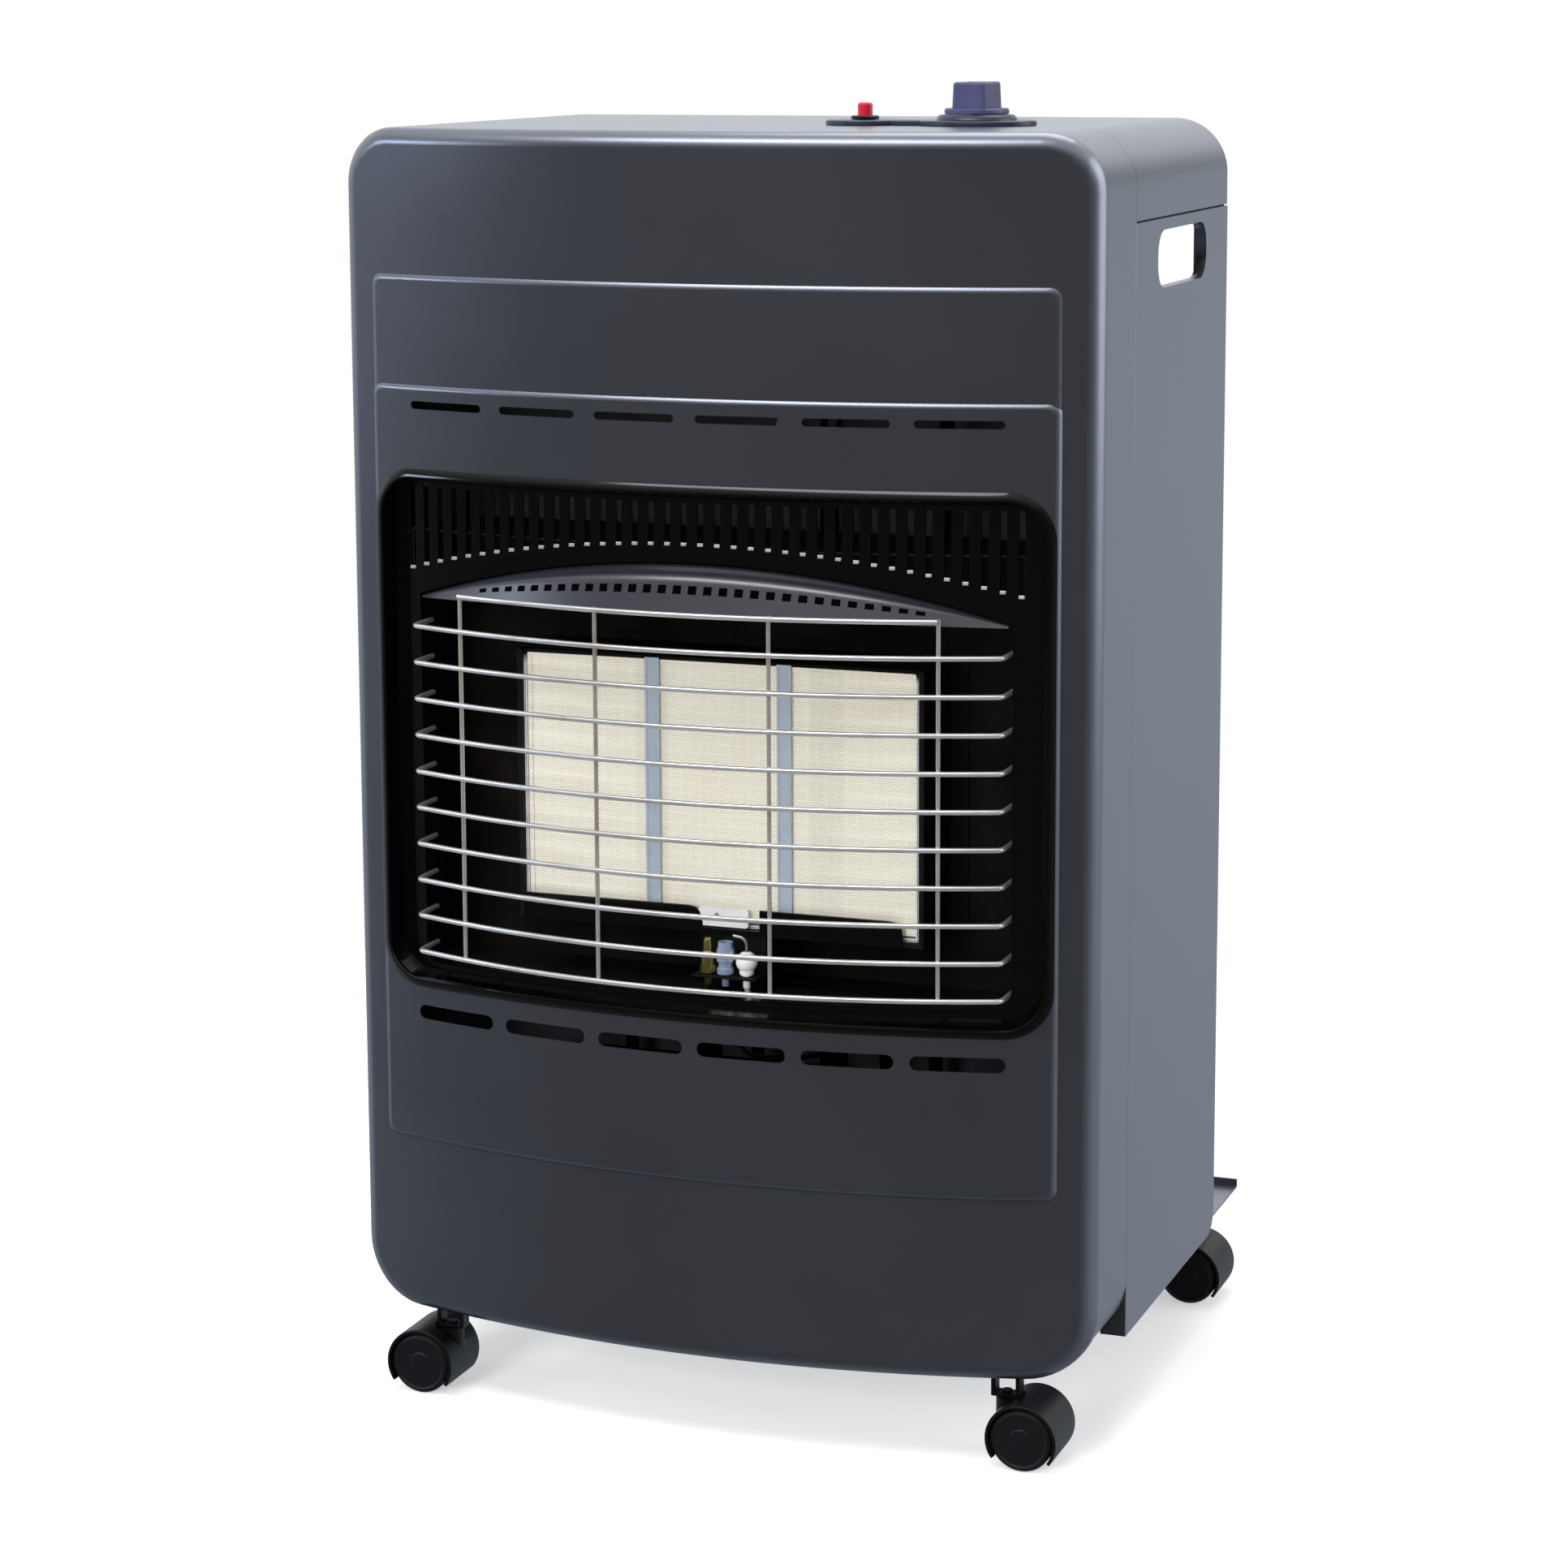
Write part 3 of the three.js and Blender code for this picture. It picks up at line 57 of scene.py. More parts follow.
MM = 0.001
SEAM = 63  # where the flange of the face meets the cap and the side panels
FACE_LOW = -5  # the face reaches below the underside of the cabinet
PANEL_LOW, PANEL_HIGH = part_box("front_panel")
HOME = Vector((0, PANEL_HIGH.y - SEAM * MM, PANEL_LOW.z - FACE_LOW * MM))
HALF_WIDTH = PANEL_HIGH.x / MM
BODY_TOP = (PANEL_HIGH.z - HOME.z) / MM
REAR_EDGE = (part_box("side_panel_right")[1].y - HOME.y) / MM
SHEET = 1.2
GAP = 0.3
STATIONS = 56  # straight lines that make up the bow of the face
WINDOW_LOW, WINDOW_HIGH, WINDOW_HALF, WINDOW_CORNER = 180.5, 463.5, 190, 25
OPENING_HALF, OPENING_LOW, OPENING_SIDE, OPENING_TOP = 166, 192, 395, 422
LOUVRES, LOUVRE_PITCH = 38, 9.2
BURNER_PITCH = 74.6
KNOB_X, BUTTON_X, CONTROL_Y = 115, 53, 92
PLATE_LOW, PLATE_HIGH = 643.3, 645.8
SPINDLE_HOLE, NECK_HOLE = 3.6, 6.3
WHEEL_RADIUS, WHEEL_CENTRE, CASTER_TRAIL = 17, -37, 12.5
GUARD_ROWS, GUARD_TOP = [201 + 19.8 * row for row in range(10)], 398


def length(name, description, default, least, most):
    """A size setting, in metres."""
    return bpy.props.FloatProperty(
        name=name, description=description, default=default, min=least, max=most,
        unit="LENGTH", subtype="DISTANCE")


class HeaterSizes(bpy.types.PropertyGroup):
    """Sizes of the detailed pieces, which can be changed while the frame stays as it is."""

    bow: length("Bow of the Face", "How far the middle of the face stands ahead of its sides",
                0.0355, 0.0, 0.0355)
    face_edge: length("Face Edge Radius", "Rounding between the face and its flange",
                      0.009, 0.002, 0.012)
    step: length("Step Height", "How far each pressed step of the face stands proud",
                 0.0012, 0.0003, 0.0012)
    bead: length("Bead Width", "Width of the bead around the window", 0.0055, 0.004, 0.008)
    wire: length("Guard Wire Radius", "Radius of the wires of the fireguard",
                 0.0014, 0.0008, 0.0014)
    hole_pitch: length("Plaque Hole Pitch", "Distance between the burner holes of a plaque",
                       0.0015, 0.001, 0.004)


def colour(name, description, red, green, blue):
    """A colour setting whose default is given in screen values from 0 to 255."""
    return bpy.props.FloatVectorProperty(
        name=name, description=description, default=linear(red, green, blue), size=3,
        min=0.0, max=1.0, subtype="COLOR")


def linear(red, green, blue):
    """Scene-linear colour of a screen colour from 0 to 255."""
    parts = [value / 255 for value in (red, green, blue)]
    return tuple(p / 12.92 if p <= 0.04045 else ((p + 0.055) / 1.055) ** 2.4 for p in parts)


class HeaterColours(bpy.types.PropertyGroup):
    """Colours of the finishes."""

    paint: colour("Cabinet Paint", "Satin metallic paint of the cabinet", 123, 126, 135)
    black: colour("Black Enamel", "Gloss black of the window surround", 5, 4, 4)
    ceramic: colour("Plaque Ceramic", "Face of the burner plaques", 226, 222, 208)
    knob: colour("Knob", "Plastic of the gas control knob", 66, 68, 104)
    button: colour("Igniter Button", "Plastic of the igniter button", 190, 22, 44)
    floor: colour("Floor", "Floor of the stage", 236, 236, 236)


def sizes():
    return bpy.context.scene.heater_sizes


def colours():
    return bpy.context.scene.heater_colours


# ---------------------------------------------------------------- modelling by operators


def deselect():
    if bpy.context.object and bpy.context.object.mode != "OBJECT":
        bpy.ops.object.mode_set(mode="OBJECT")
    bpy.ops.object.select_all(action="DESELECT")


def focus(piece):
    deselect()
    piece.select_set(True)
    bpy.context.view_layer.objects.active = piece
    return piece


def named(name):
    piece = bpy.context.object
    piece.name = piece.data.name = name
    return piece


def pick(piece, kind, test):
    """Opens edit mode with what passes the test selected. Faces and vertices are tested by place
    and normal, edges by middle and direction, all in millimetres."""
    focus(piece)
    mesh = piece.data
    bpy.ops.object.mode_set(mode="EDIT")
    bpy.ops.mesh.select_mode(type=kind)
    bpy.ops.mesh.select_all(action="DESELECT")
    bpy.ops.object.mode_set(mode="OBJECT")
    if kind == "EDGE":
        for edge in mesh.edges:
            a, b = (mesh.vertices[index].co / MM for index in edge.vertices)
            edge.select = bool(test((a + b) / 2, (b - a).normalized()))
    elif kind == "FACE":
        for face in mesh.polygons:
            face.select = bool(test(face.center / MM, face.normal))
    else:
        for vertex in mesh.vertices:
            vertex.select = bool(test(vertex.co / MM, vertex.normal))
    bpy.ops.object.mode_set(mode="EDIT")


def pick_all(piece):
    focus(piece)
    bpy.ops.object.mode_set(mode="EDIT")
    bpy.ops.mesh.select_all(action="SELECT")


def done():
    bpy.ops.object.mode_set(mode="OBJECT")


def apply_place():
    bpy.ops.object.transform_apply(location=True, rotation=True, scale=True)


def face_out():
    """Turns every normal out and leaves edit mode."""
    bpy.ops.mesh.select_all(action="SELECT")
    bpy.ops.mesh.normals_make_consistent(inside=False)
    done()


def faces_front(at, way):
    return way.y < -0.9


def dish(piece, rim, depth):
    """Pushes the front of a piece in, inside a rim."""
    pick(piece, "FACE", faces_front)
    bpy.ops.mesh.inset(thickness=rim * MM)
    push((0, depth, 0))
    done()


def scale_about(factors, centre):
    """Scales the selection about a point in millimetres."""
    bpy.ops.transform.resize(value=factors, center_override=Vector(centre) * MM)


def arc(x, y, radius, start, end, count, radius_y=None):
    """Points along a circle or an ellipse, between two angles in degrees."""
    angles = [math.radians(start + (end - start) * step / count) for step in range(count + 1)]
    return [(x + radius * math.cos(angle), y + (radius_y or radius) * math.sin(angle))
            for angle in angles]


def block(name, xs, ys, zs):
    """A box between two limits on each axis."""
    deselect()
    spans = [(min(pair), max(pair)) for pair in (xs, ys, zs)]
    bpy.ops.mesh.primitive_cube_add(
        size=1, location=[(a + b) / 2 * MM for a, b in spans],
        scale=[(b - a) * MM for a, b in spans])
    apply_place()
    return named(name)


def rod(name, start, end, radius, sides=24):
    """A cylinder between two points."""
    deselect()
    a, b = Vector(start) * MM, Vector(end) * MM
    turn = (b - a).to_track_quat("Z", "Y").to_euler()
    bpy.ops.mesh.primitive_cylinder_add(
        vertices=sides, radius=radius * MM, depth=(b - a).length, location=(a + b) / 2,
        rotation=turn)
    apply_place()
    return named(name)


def drawn(name, points):
    """A line of vertices, drawn by extruding one vertex from point to point."""
    deselect()
    start = Vector(points[0]) * MM
    bpy.ops.mesh.primitive_plane_add(size=MM, location=start)
    apply_place()
    bpy.ops.object.mode_set(mode="EDIT")
    bpy.ops.mesh.select_mode(type="VERT")
    bpy.ops.mesh.select_all(action="SELECT")
    bpy.ops.mesh.merge(type="CENTER")
    for before, after in zip(points, points[1:]):
        step = (Vector(after) - Vector(before)) * MM
        bpy.ops.mesh.extrude_region_move(TRANSFORM_OT_translate={"value": step})
    done()
    return named(name)


def filled(name, points):
    """A flat face inside a drawn outline."""
    piece = drawn(name, points)
    pick_all(piece)
    bpy.ops.mesh.edge_face_add()
    done()
    return piece


def push(way):
    """Extrudes the selection by a distance in millimetres."""
    bpy.ops.mesh.extrude_region_move(TRANSFORM_OT_translate={"value": Vector(way) * MM})


def slab(name, points, way):
    """A solid: a drawn outline, extruded one way."""
    piece = filled(name, points)
    pick_all(piece)
    push(way)
    face_out()
    return piece


def turned(name, profile, centre, axis="Z", steps=40):
    """A solid of revolution: a profile of (radius, along) pairs, spun about Z or Y."""
    middle = Vector(centre)
    points = [(out, 0, along) if axis == "Z" else (out, along, 0) for out, along in profile]
    way = (0, 0, 1) if axis == "Z" else (0, 1, 0)
    piece = drawn(name, [Vector(point) + middle for point in points])
    pick_all(piece)
    bpy.ops.mesh.spin(steps=steps, angle=2 * math.pi, center=middle * MM, axis=way)
    bpy.ops.mesh.select_all(action="SELECT")
    bpy.ops.mesh.remove_doubles(threshold=0.002 * MM)
    face_out()
    return piece


def bevel(piece, test, width, segments=3):
    """Rounds the edges that pass the test."""
    pick(piece, "EDGE", test)
    bpy.ops.mesh.bevel(
        offset=width * MM, segments=segments, profile=0.5, affect="EDGES", clamp_overlap=True)
    done()
    return piece


def round_corners(piece, axis, width, segments=6, test=lambda at: True):
    """Rounds the edges that run along one axis."""
    return bevel(piece, lambda at, way: abs(way[axis]) > 0.99 and test(at), width, segments)


def modify(piece, kind, **settings):
    """Adds a modifier and applies it."""
    focus(piece)
    modifier = piece.modifiers.new(kind, kind)
    for key, value in settings.items():
        setattr(modifier, key, value)
    bpy.ops.object.modifier_apply(modifier=modifier.name)
    return piece


def cut(piece, *cutters, operation="DIFFERENCE"):
    """Cuts a piece with others, or fuses them to it, and removes the others."""
    for cutter in cutters:
        modify(piece, "BOOLEAN", object=cutter, operation=operation, solver="EXACT")
        bpy.data.objects.remove(cutter, do_unlink=True)
    return piece


def fuse(piece, *others):
    return cut(piece, *others, operation="UNION")


def row_of(piece, count, pitch):
    """Repeats a piece across, centred on where it was."""
    modify(piece, "ARRAY", count=count, use_relative_offset=False, use_constant_offset=True,
           constant_offset_displace=(pitch * MM, 0, 0))
    return move(piece, (-pitch * (count - 1) / 2, 0, 0))


def move(piece, way):
    pick_all(piece)
    bpy.ops.transform.translate(value=Vector(way) * MM)
    done()
    return piece


def half_turn(piece, centre):
    """Turns a piece by half a turn about an upright line through a point."""
    focus(piece)
    middle = Vector(centre) * MM
    piece.location = middle
    piece.rotation_euler = (0, 0, math.pi)
    piece.data.transform(Matrix.Translation(-middle))
    apply_place()
    return piece


def join(*pieces):
    focus(pieces[0])
    for other in pieces[1:]:
        other.select_set(True)
    bpy.ops.object.join()
    return pieces[0]


def copy_of(piece, name):
    focus(piece)
    bpy.ops.object.duplicate(linked=False)
    return named(name)


def press(piece, axis, amount):
    """Moves each vertex along an axis by amount(place), with a weighted Displace modifier."""
    moves = [amount(vertex.co / MM) for vertex in piece.data.vertices]
    low, span = min(moves), max(moves) - min(moves)
    group = piece.vertex_groups.new(name="press")
    for index, distance in enumerate(moves):
        group.add([index], (distance - low) / span, "REPLACE")
    modify(piece, "DISPLACE", direction=axis, mid_level=0.0, strength=span * MM,
           vertex_group="press")
    piece.vertex_groups.clear()
    move(piece, [low if letter == axis else 0 for letter in "XYZ"])
    return piece


def bow_at(x):
    """Depth of the bowed face, as a chain of straight lines between the stations."""
    pitch = 2 * HALF_WIDTH / STATIONS
    station = math.floor(x / pitch + 1e-6)
    share = x / pitch - station
    bow = sizes().bow / MM
    ends = [-bow * (1 - (place * pitch / HALF_WIDTH) ** 2) for place in (station, station + 1)]
    return ends[0] * (1 - share) + ends[1] * share


def bowed(piece, reach, behind=lambda at: False):
    """Slices a flat piece at the stations of the bow and presses it to the bow."""
    pitch = 2 * HALF_WIDTH / STATIONS
    count = math.floor(reach / pitch)
    pick_all(piece)
    for station in range(-count, count + 1):
        bpy.ops.mesh.select_all(action="SELECT")
        bpy.ops.mesh.bisect(plane_co=(station * pitch * MM, 0, 0), plane_no=(1, 0, 0))
    done()
    return press(piece, "Y", lambda at: 0 if behind(at) else bow_at(at.x))


def wire(name, points, radius):
    """A round wire along points, with closed ends."""
    piece = drawn(name, points)
    focus(piece)
    bpy.ops.object.convert(target="CURVE")
    curve = bpy.context.object
    curve.data.bevel_depth = radius * MM
    curve.data.bevel_resolution = 3
    curve.data.use_fill_caps = True
    bpy.ops.object.convert(target="MESH")
    piece = named(name)
    pick_all(piece)
    bpy.ops.mesh.remove_doubles(threshold=0.0001 * MM)
    face_out()
    return piece


def finish_piece(piece, slot, *nodes, body="cabinet", look=None, angle=35, weighted=True,
                 home=True):
    if home:
        focus(piece)
        piece.location = HOME
        apply_place()
    focus(piece)
    bpy.ops.object.shade_smooth_by_angle(angle=math.radians(angle))
    if weighted:
        modify(piece, "WEIGHTED_NORMAL", keep_sharp=True, weight=50)
    piece.data.materials.clear()
    piece.data.materials.append(finish_for(look or slot))
    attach(piece, body)
    if nodes:
        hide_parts(*nodes)
    return piece


def refined(node, name, slot, width):
    """A piece made from a copy of a CAD node: merged, its flats joined and its edges rounded."""
    piece = bpy.data.objects.new(name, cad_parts[node].data.copy())
    piece.data.name = name
    bpy.context.scene.collection.objects.link(piece)
    pick_all(piece)
    bpy.ops.mesh.remove_doubles(threshold=0.001 * MM)
    bpy.ops.mesh.dissolve_limited(angle_limit=math.radians(0.5))
    done()
    modify(piece, "BEVEL", width=width * MM, segments=2, limit_method="ANGLE",
           angle_limit=math.radians(30), use_clamp_overlap=True)
    return finish_piece(piece, slot, node, home=False)


# ---------------------------------------------------------------- finishes


class Wire:
    """A socket that can be used in sums: an expression on it adds its Math nodes."""

    def __init__(self, nodes, socket):
        self.nodes = nodes
        self.socket = socket

    def math(self, operation, *inputs):
        return self.nodes.node("ShaderNodeMath", {"operation": operation}, dict(enumerate(inputs)))

    def __add__(self, other):
        return self.math("ADD", self, other)

    def __sub__(self, other):
        return self.math("SUBTRACT", self, other)

    def __rsub__(self, other):
        return self.math("SUBTRACT", other, self)

    def __mul__(self, other):
        return self.math("MULTIPLY", self, other)

    def __truediv__(self, other):
        return self.math("DIVIDE", self, other)

    def __pow__(self, other):
        return self.math("POWER", self, other)

    __radd__, __rmul__ = __add__, __mul__

    def above(self, limit):
        return self.math("GREATER_THAN", self, limit)

    def largest(self, other):
        return self.math("MAXIMUM", self, other)

    def absolute(self):
        return self.math("ABSOLUTE", self)

    def fraction(self):
        return self.math("FRACT", self)


class Nodes:
    """A node tree that is built from expressions."""

    def __init__(self, tree):
        self.tree = tree

    def feed(self, socket, value):
        if isinstance(value, Wire):
            self.tree.links.new(value.socket, socket)
        else:
            socket.default_value = value

    def node(self, kind, settings, inputs, output=0):
        node = self.tree.nodes.new(kind)
        for key, value in settings.items():
            setattr(node, key, value)
        for key, value in inputs.items():
            self.feed(node.inputs[key], value)
        return Wire(self, node.outputs[output])

    def ray(self, kind):
        return self.node("ShaderNodeLightPath", {}, {}, f"Is {kind} Ray")

    def axis(self, index, vector):
        return self.node("ShaderNodeSeparateXYZ", {}, {0: vector}, index)

    def mix(self, factor, first, second):
        first, second = (part if isinstance(part, Wire) else (*part, 1) for part in (first, second))
        sockets = {0: factor, 6: first, 7: second}
        return self.node("ShaderNodeMix", {"data_type": "RGBA"}, sockets, 2)

    def between(self, value, low, high, start=0.0, end=1.0, kind="LINEAR"):
        """A value moved from one range to another and kept inside it."""
        return self.node("ShaderNodeMapRange", {"clamp": True, "interpolation_type": kind}, {
            0: value, 1: low, 2: high, 3: start, 4: end})


class Finish(Nodes):
    """A material on a Principled shader, with its nodes on Object coordinates."""

    def __init__(self, name, colour, roughness, metallic=0.0, **constants):
        self.material = bpy.data.materials.new(name)
        self.material.use_nodes = True
        super().__init__(self.material.node_tree)
        self.shader = self.tree.nodes["Principled BSDF"]
        self.material.diffuse_color = (*colour, 1)
        self.set("Base Color", (*colour, 1))
        self.set("Roughness", roughness)
        self.set("Metallic", metallic)
        for key, value in constants.items():
            self.set(key.replace("_", " "), value)
        self.place = self.node("ShaderNodeTexCoord", {}, {}, "Object")

    def set(self, name, value):
        self.feed(self.shader.inputs[name], value)

    def scaled(self, x, y, z):
        """Object coordinates, stretched on each axis."""
        return self.node("ShaderNodeMapping", {}, {"Vector": self.place, "Scale": (x, y, z)})

    def noise(self, scale, detail=3.0, roughness=0.55, vector=None):
        return self.node("ShaderNodeTexNoise", {}, {
            "Vector": vector or self.place, "Scale": scale, "Detail": detail,
            "Roughness": roughness})

    def made(self, colour, roughness, height=None, distance=0.0, strength=0.3):
        """Feeds the shader and gives the material. The surface is raised by a height from 0 to 1
        times a distance in metres."""
        self.set("Base Color", colour)
        self.set("Roughness", roughness)
        if height:
            self.set("Normal", self.node("ShaderNodeBump", {}, {
                "Strength": strength, "Distance": distance, "Height": height}))
        return self.material


def shade_of(colour, factor):
    return tuple(min(1.0, part * factor) for part in colour)


def satin_paint():
    """Satin metallic paint: a fine grain, faint cloudiness and small changes of gloss."""
    colour = tuple(colours().paint)
    finish = Finish("satin_metallic_paint", colour, 0.32, 0.95, Specular_IOR_Level=0.4)
    cloud = finish.noise(7, 3)
    grain = finish.noise(1600, 2, 0.7)
    flake = finish.noise(5200, 1)
    tone = finish.between(cloud, 0.3, 0.7)
    base = finish.mix(tone, shade_of(colour, 0.93), shade_of(colour, 1.06))
    sparkle = finish.between(flake, 0.6, 0.78)
    return finish.made(
        finish.mix(sparkle * 0.35, base, shade_of(colour, 1.7)),
        0.26 + grain * 0.1 + tone * 0.03,
        grain, 0.00006)


def gloss_enamel(name, colour, roughness=0.1, level=0.3):
    """Black enamel with a slight orange peel and fine dust."""
    finish = Finish(name, colour, roughness, 0.0, Specular_IOR_Level=level)
    peel = finish.noise(260, 2)
    dust = finish.between(finish.noise(900, 4, 0.7), 0.58, 0.8)
    return finish.made(
        finish.mix(dust * 0.25, colour, shade_of(colour, 4)),
        roughness + dust * 0.16 + finish.noise(30, 2) * 0.04,
        peel, 0.00003)


def heat_black():
    """Matt heat-proof black, a little brown and uneven where it has been hot."""
    finish = Finish("heat_black", linear(12, 11, 12), 0.5, 0.0, Specular_IOR_Level=0.25)
    stain = finish.between(finish.noise(22, 4), 0.4, 0.75)
    return finish.made(
        finish.mix(stain, linear(9, 9, 10), linear(26, 21, 18)),
        0.42 + finish.noise(180, 3) * 0.25,
        finish.noise(420, 3), 0.0001, 0.4)


def drawn_wire(name, colour, heat):
    """Drawn wire, with lengthwise scratches and tints from heat."""
    finish = Finish(name, colour, 0.28, 0.75)
    tint = finish.between(finish.noise(28, 3), 0.5, 0.78)
    base = finish.mix(tint * 0.6, colour, heat)
    scratch = finish.noise(900, 3, 0.7, finish.scaled(0.08, 1, 1))
    return finish.made(base, 0.24 + scratch * 0.12, scratch, 0.00001, 0.2)


def plaque_ceramic():
    """Pale ceramic with rows of small burner holes darkened as painted shade, ridged in larger
    squares lightened as a painted highlight.
    """
    colour = tuple(colours().ceramic)
    finish = Finish("plaque_ceramic", colour, 0.85, 0.0, Specular_IOR_Level=0.2)
    pitch = sizes().hole_pitch
    x, z = finish.axis(0, finish.place), finish.axis(2, finish.place)
    row = (z / (pitch * 0.866)).fraction() - 0.5
    odd = (z / (pitch * 1.732)).fraction().above(0.5) * 0.5
    column = (x / pitch + odd).fraction() - 0.5
    hole = finish.between((row * row + column * column) ** 0.5, 0.2, 0.34, 1.0, 0.0)
    ridge_x = ((x / 0.0055).fraction() - 0.5).absolute()
    ridge_z = ((z / 0.0055).fraction() - 0.5).absolute()
    ridge = finish.between(ridge_x.largest(ridge_z), 0.3, 0.5)
    soot = finish.between(finish.noise(24, 4), 0.45, 0.8)
    base = finish.mix(soot * 0.5, colour, linear(214, 204, 180))
    # Painted highlight: the raised ridges are lightened.
    base = finish.mix(ridge * 0.35, base, linear(240, 237, 226))
    # Painted shade: the burner holes are darkened in the colour below.
    return finish.made(
        finish.mix(hole * 0.55, base, linear(150, 140, 118)),
        0.8 + finish.noise(300, 2) * 0.15,
        ridge * 0.6 - hole, 0.0004, 0.5)


def glazed_ceramic():
    finish = Finish("glazed_ceramic", linear(236, 236, 238), 0.2, 0.0, Coat_Weight=0.4)
    mark = finish.between(finish.noise(700, 3), 0.55, 0.75)
    return finish.made(
        finish.mix(mark, linear(238, 238, 240), linear(206, 204, 200)),
        0.16 + mark * 0.2)


def sheet_steel(name, red, green, blue, roughness=0.34, metallic=0.85, spangle=260):
    """Bare or plated sheet metal, with a rolled grain and cloudy crystals."""
    colour = linear(red, green, blue)
    finish = Finish(name, colour, roughness, metallic)
    cell = finish.node("ShaderNodeTexVoronoi", {"feature": "F1"}, {
        "Vector": finish.place, "Scale": spangle}, "Color")
    grain = finish.noise(400, 3, 0.7, finish.scaled(0.15, 1, 1))
    light = finish.axis(0, cell)
    return finish.made(
        finish.mix(light, shade_of(colour, 0.94), shade_of(colour, 1.04)),
        roughness - 0.06 + light * 0.03 + grain * 0.12,
        grain, 0.00005)


def burner_sheet():
    """Pale plated sheet, darkened near black along its top by painted shade."""
    # The second colour is painted shade for the top of each housing.
    pale, painted_shade_black = linear(236, 235, 236), linear(22, 18, 17)
    finish = Finish("burner_steel", pale, 0.4, 0.2)
    edge = finish.axis(2, finish.place) + finish.noise(60, 3) * 0.006
    # Painted shade, not heat: above a wavy line at 0.415 m the sheet turns near black and rougher.
    heat = finish.between(edge, 0.415, 0.419)
    cell = finish.between(finish.noise(90, 3), 0.4, 0.7)
    base = finish.mix(cell, pale, linear(214, 214, 220))
    return finish.made(
        finish.mix(heat, base, painted_shade_black),
        0.36 + cell * 0.1 + heat * 0.2,
        finish.noise(400, 3, 0.7, finish.scaled(0.15, 1, 1)), 0.00005)


def turned_metal(name, red, green, blue, roughness=0.28):
    """Turned brass or copper with a fine machined grain and dull patches."""
    colour = linear(red, green, blue)
    finish = Finish(name, colour, roughness, 1.0)
    dull = finish.between(finish.noise(60, 4), 0.42, 0.7)
    grain = finish.noise(1500, 2, 0.6, finish.scaled(0.2, 1, 1))
    return finish.made(
        finish.mix(dull, colour, shade_of(colour, 0.6)),
        roughness + dull * 0.22 + grain * 0.08,
        grain, 0.00004)


def moulded_plastic(name, colour, roughness, coat=0.0, level=0.45):
    """Moulded plastic with a spark-eroded grain and lighter rubbed spots."""
    finish = Finish(name, colour, roughness, 0.0, Coat_Weight=coat, Specular_IOR_Level=level)
    grain = finish.noise(1300, 3, 0.65)
    rubbed = finish.between(finish.noise(90, 3), 0.55, 0.8)
    return finish.made(
        finish.mix(rubbed * 0.6, colour, shade_of(colour, 1.5)),
        roughness - 0.05 + grain * 0.14 - rubbed * 0.06,
        grain, 0.00008, 0.4)


FINISHES = {
    "body_paint": satin_paint,
    "gloss_black": lambda: gloss_enamel("gloss_enamel", tuple(colours().black)),
    # Painted sheen: the visor is the same black enamel as the surround, made lighter and bluish for
    # its reflections.
    "visor_painted_sheen": lambda: gloss_enamel("visor_enamel_painted_sheen", linear(33, 33, 42), 0.26, 0.9),
    "dark_steel": heat_black,
    "guard_chrome": lambda: drawn_wire("guard_wire", linear(222, 221, 222), linear(176, 164, 142)),
    "aged_wire": lambda: drawn_wire("aged_wire", linear(206, 200, 190), linear(150, 130, 100)),
    "burner_steel": burner_sheet,
    "joint_steel": lambda: sheet_steel("joint_steel", 178, 190, 204, 0.4, 0.3, 90),
    "ceramic": plaque_ceramic,
    "white_ceramic": glazed_ceramic,
    "galvanised_steel": lambda: sheet_steel("galvanised_steel", 168, 172, 176),
    "brass": lambda: turned_metal("turned_brass", 206, 188, 110),
    # Painted shade: a dark copy of the brass for the manifold inside the cabinet.
    "brass_painted_shade": lambda: turned_metal("brass_painted_shade", 58, 54, 44, 0.6),
    "pilot_steel": lambda: sheet_steel("pilot_steel", 176, 196, 226, 0.3, 0.6, 240),
    # Painted shade: the pipes inside the cabinet are a dark, dull copper for the shade they sit in.
    "copper": lambda: turned_metal("copper_painted_shade", 74, 60, 52, 0.6),
    "lead_sleeve": lambda: moulded_plastic("lead_sleeve", linear(196, 192, 184), 0.6),
    "control_plate": lambda: moulded_plastic("plate_plastic", linear(36, 40, 56), 0.32),
    "knob_plastic": lambda: moulded_plastic("knob_plastic", tuple(colours().knob), 0.38),
    "black_plastic": lambda: moulded_plastic("black_plastic", linear(10, 10, 12), 0.42, level=0.3),
    "red_plastic": lambda: moulded_plastic(
        "button_plastic", tuple(colours().button), 0.25, coat=0.4),
    "wheel_plastic": lambda: moulded_plastic("wheel_plastic", linear(16, 16, 20), 0.4, level=0.35),
}
made = {}


def finish_for(slot):
    """The finish of a material slot, made once."""
    if slot not in made:
        made[slot] = FINISHES[slot]()
    return made[slot]


# ---------------------------------------------------------------- cabinet


def rounded_block(name, xs, ys, zs, axis, radius, segments=8):
    """A box whose edges along one axis are rounded."""
    return round_corners(block(name, xs, ys, zs), axis, radius, segments)


def pressed_step(top, proud):
    """One raised step of the face, drawn flat, with sloping sides."""
    half, low, draft = 193, 92, 3.2
    middle = (low + top) / 2
    step = rounded_block("step", (-half, half), (-proud, 3), (low, top), 1, 6, 6)
    pick(step, "FACE", faces_front)
    factors = ((half - draft) / half, 1, (top - middle - draft) / (top - middle))
    scale_about(factors, (0, -proud, middle))
    done()
    return bevel(step, lambda at, way: at.y < -proud + 0.01, 2.2, 5)


def vent_slots(height, length, width):
    """A row of six slots with round ends."""
    ends = width / 2 - 0.05
    slot = rounded_block("slot", (-length / 2, length / 2), (-10, 10),
                         (height - width / 2, height + width / 2), 1, ends, 6)
    return row_of(slot, 6, 56.8)


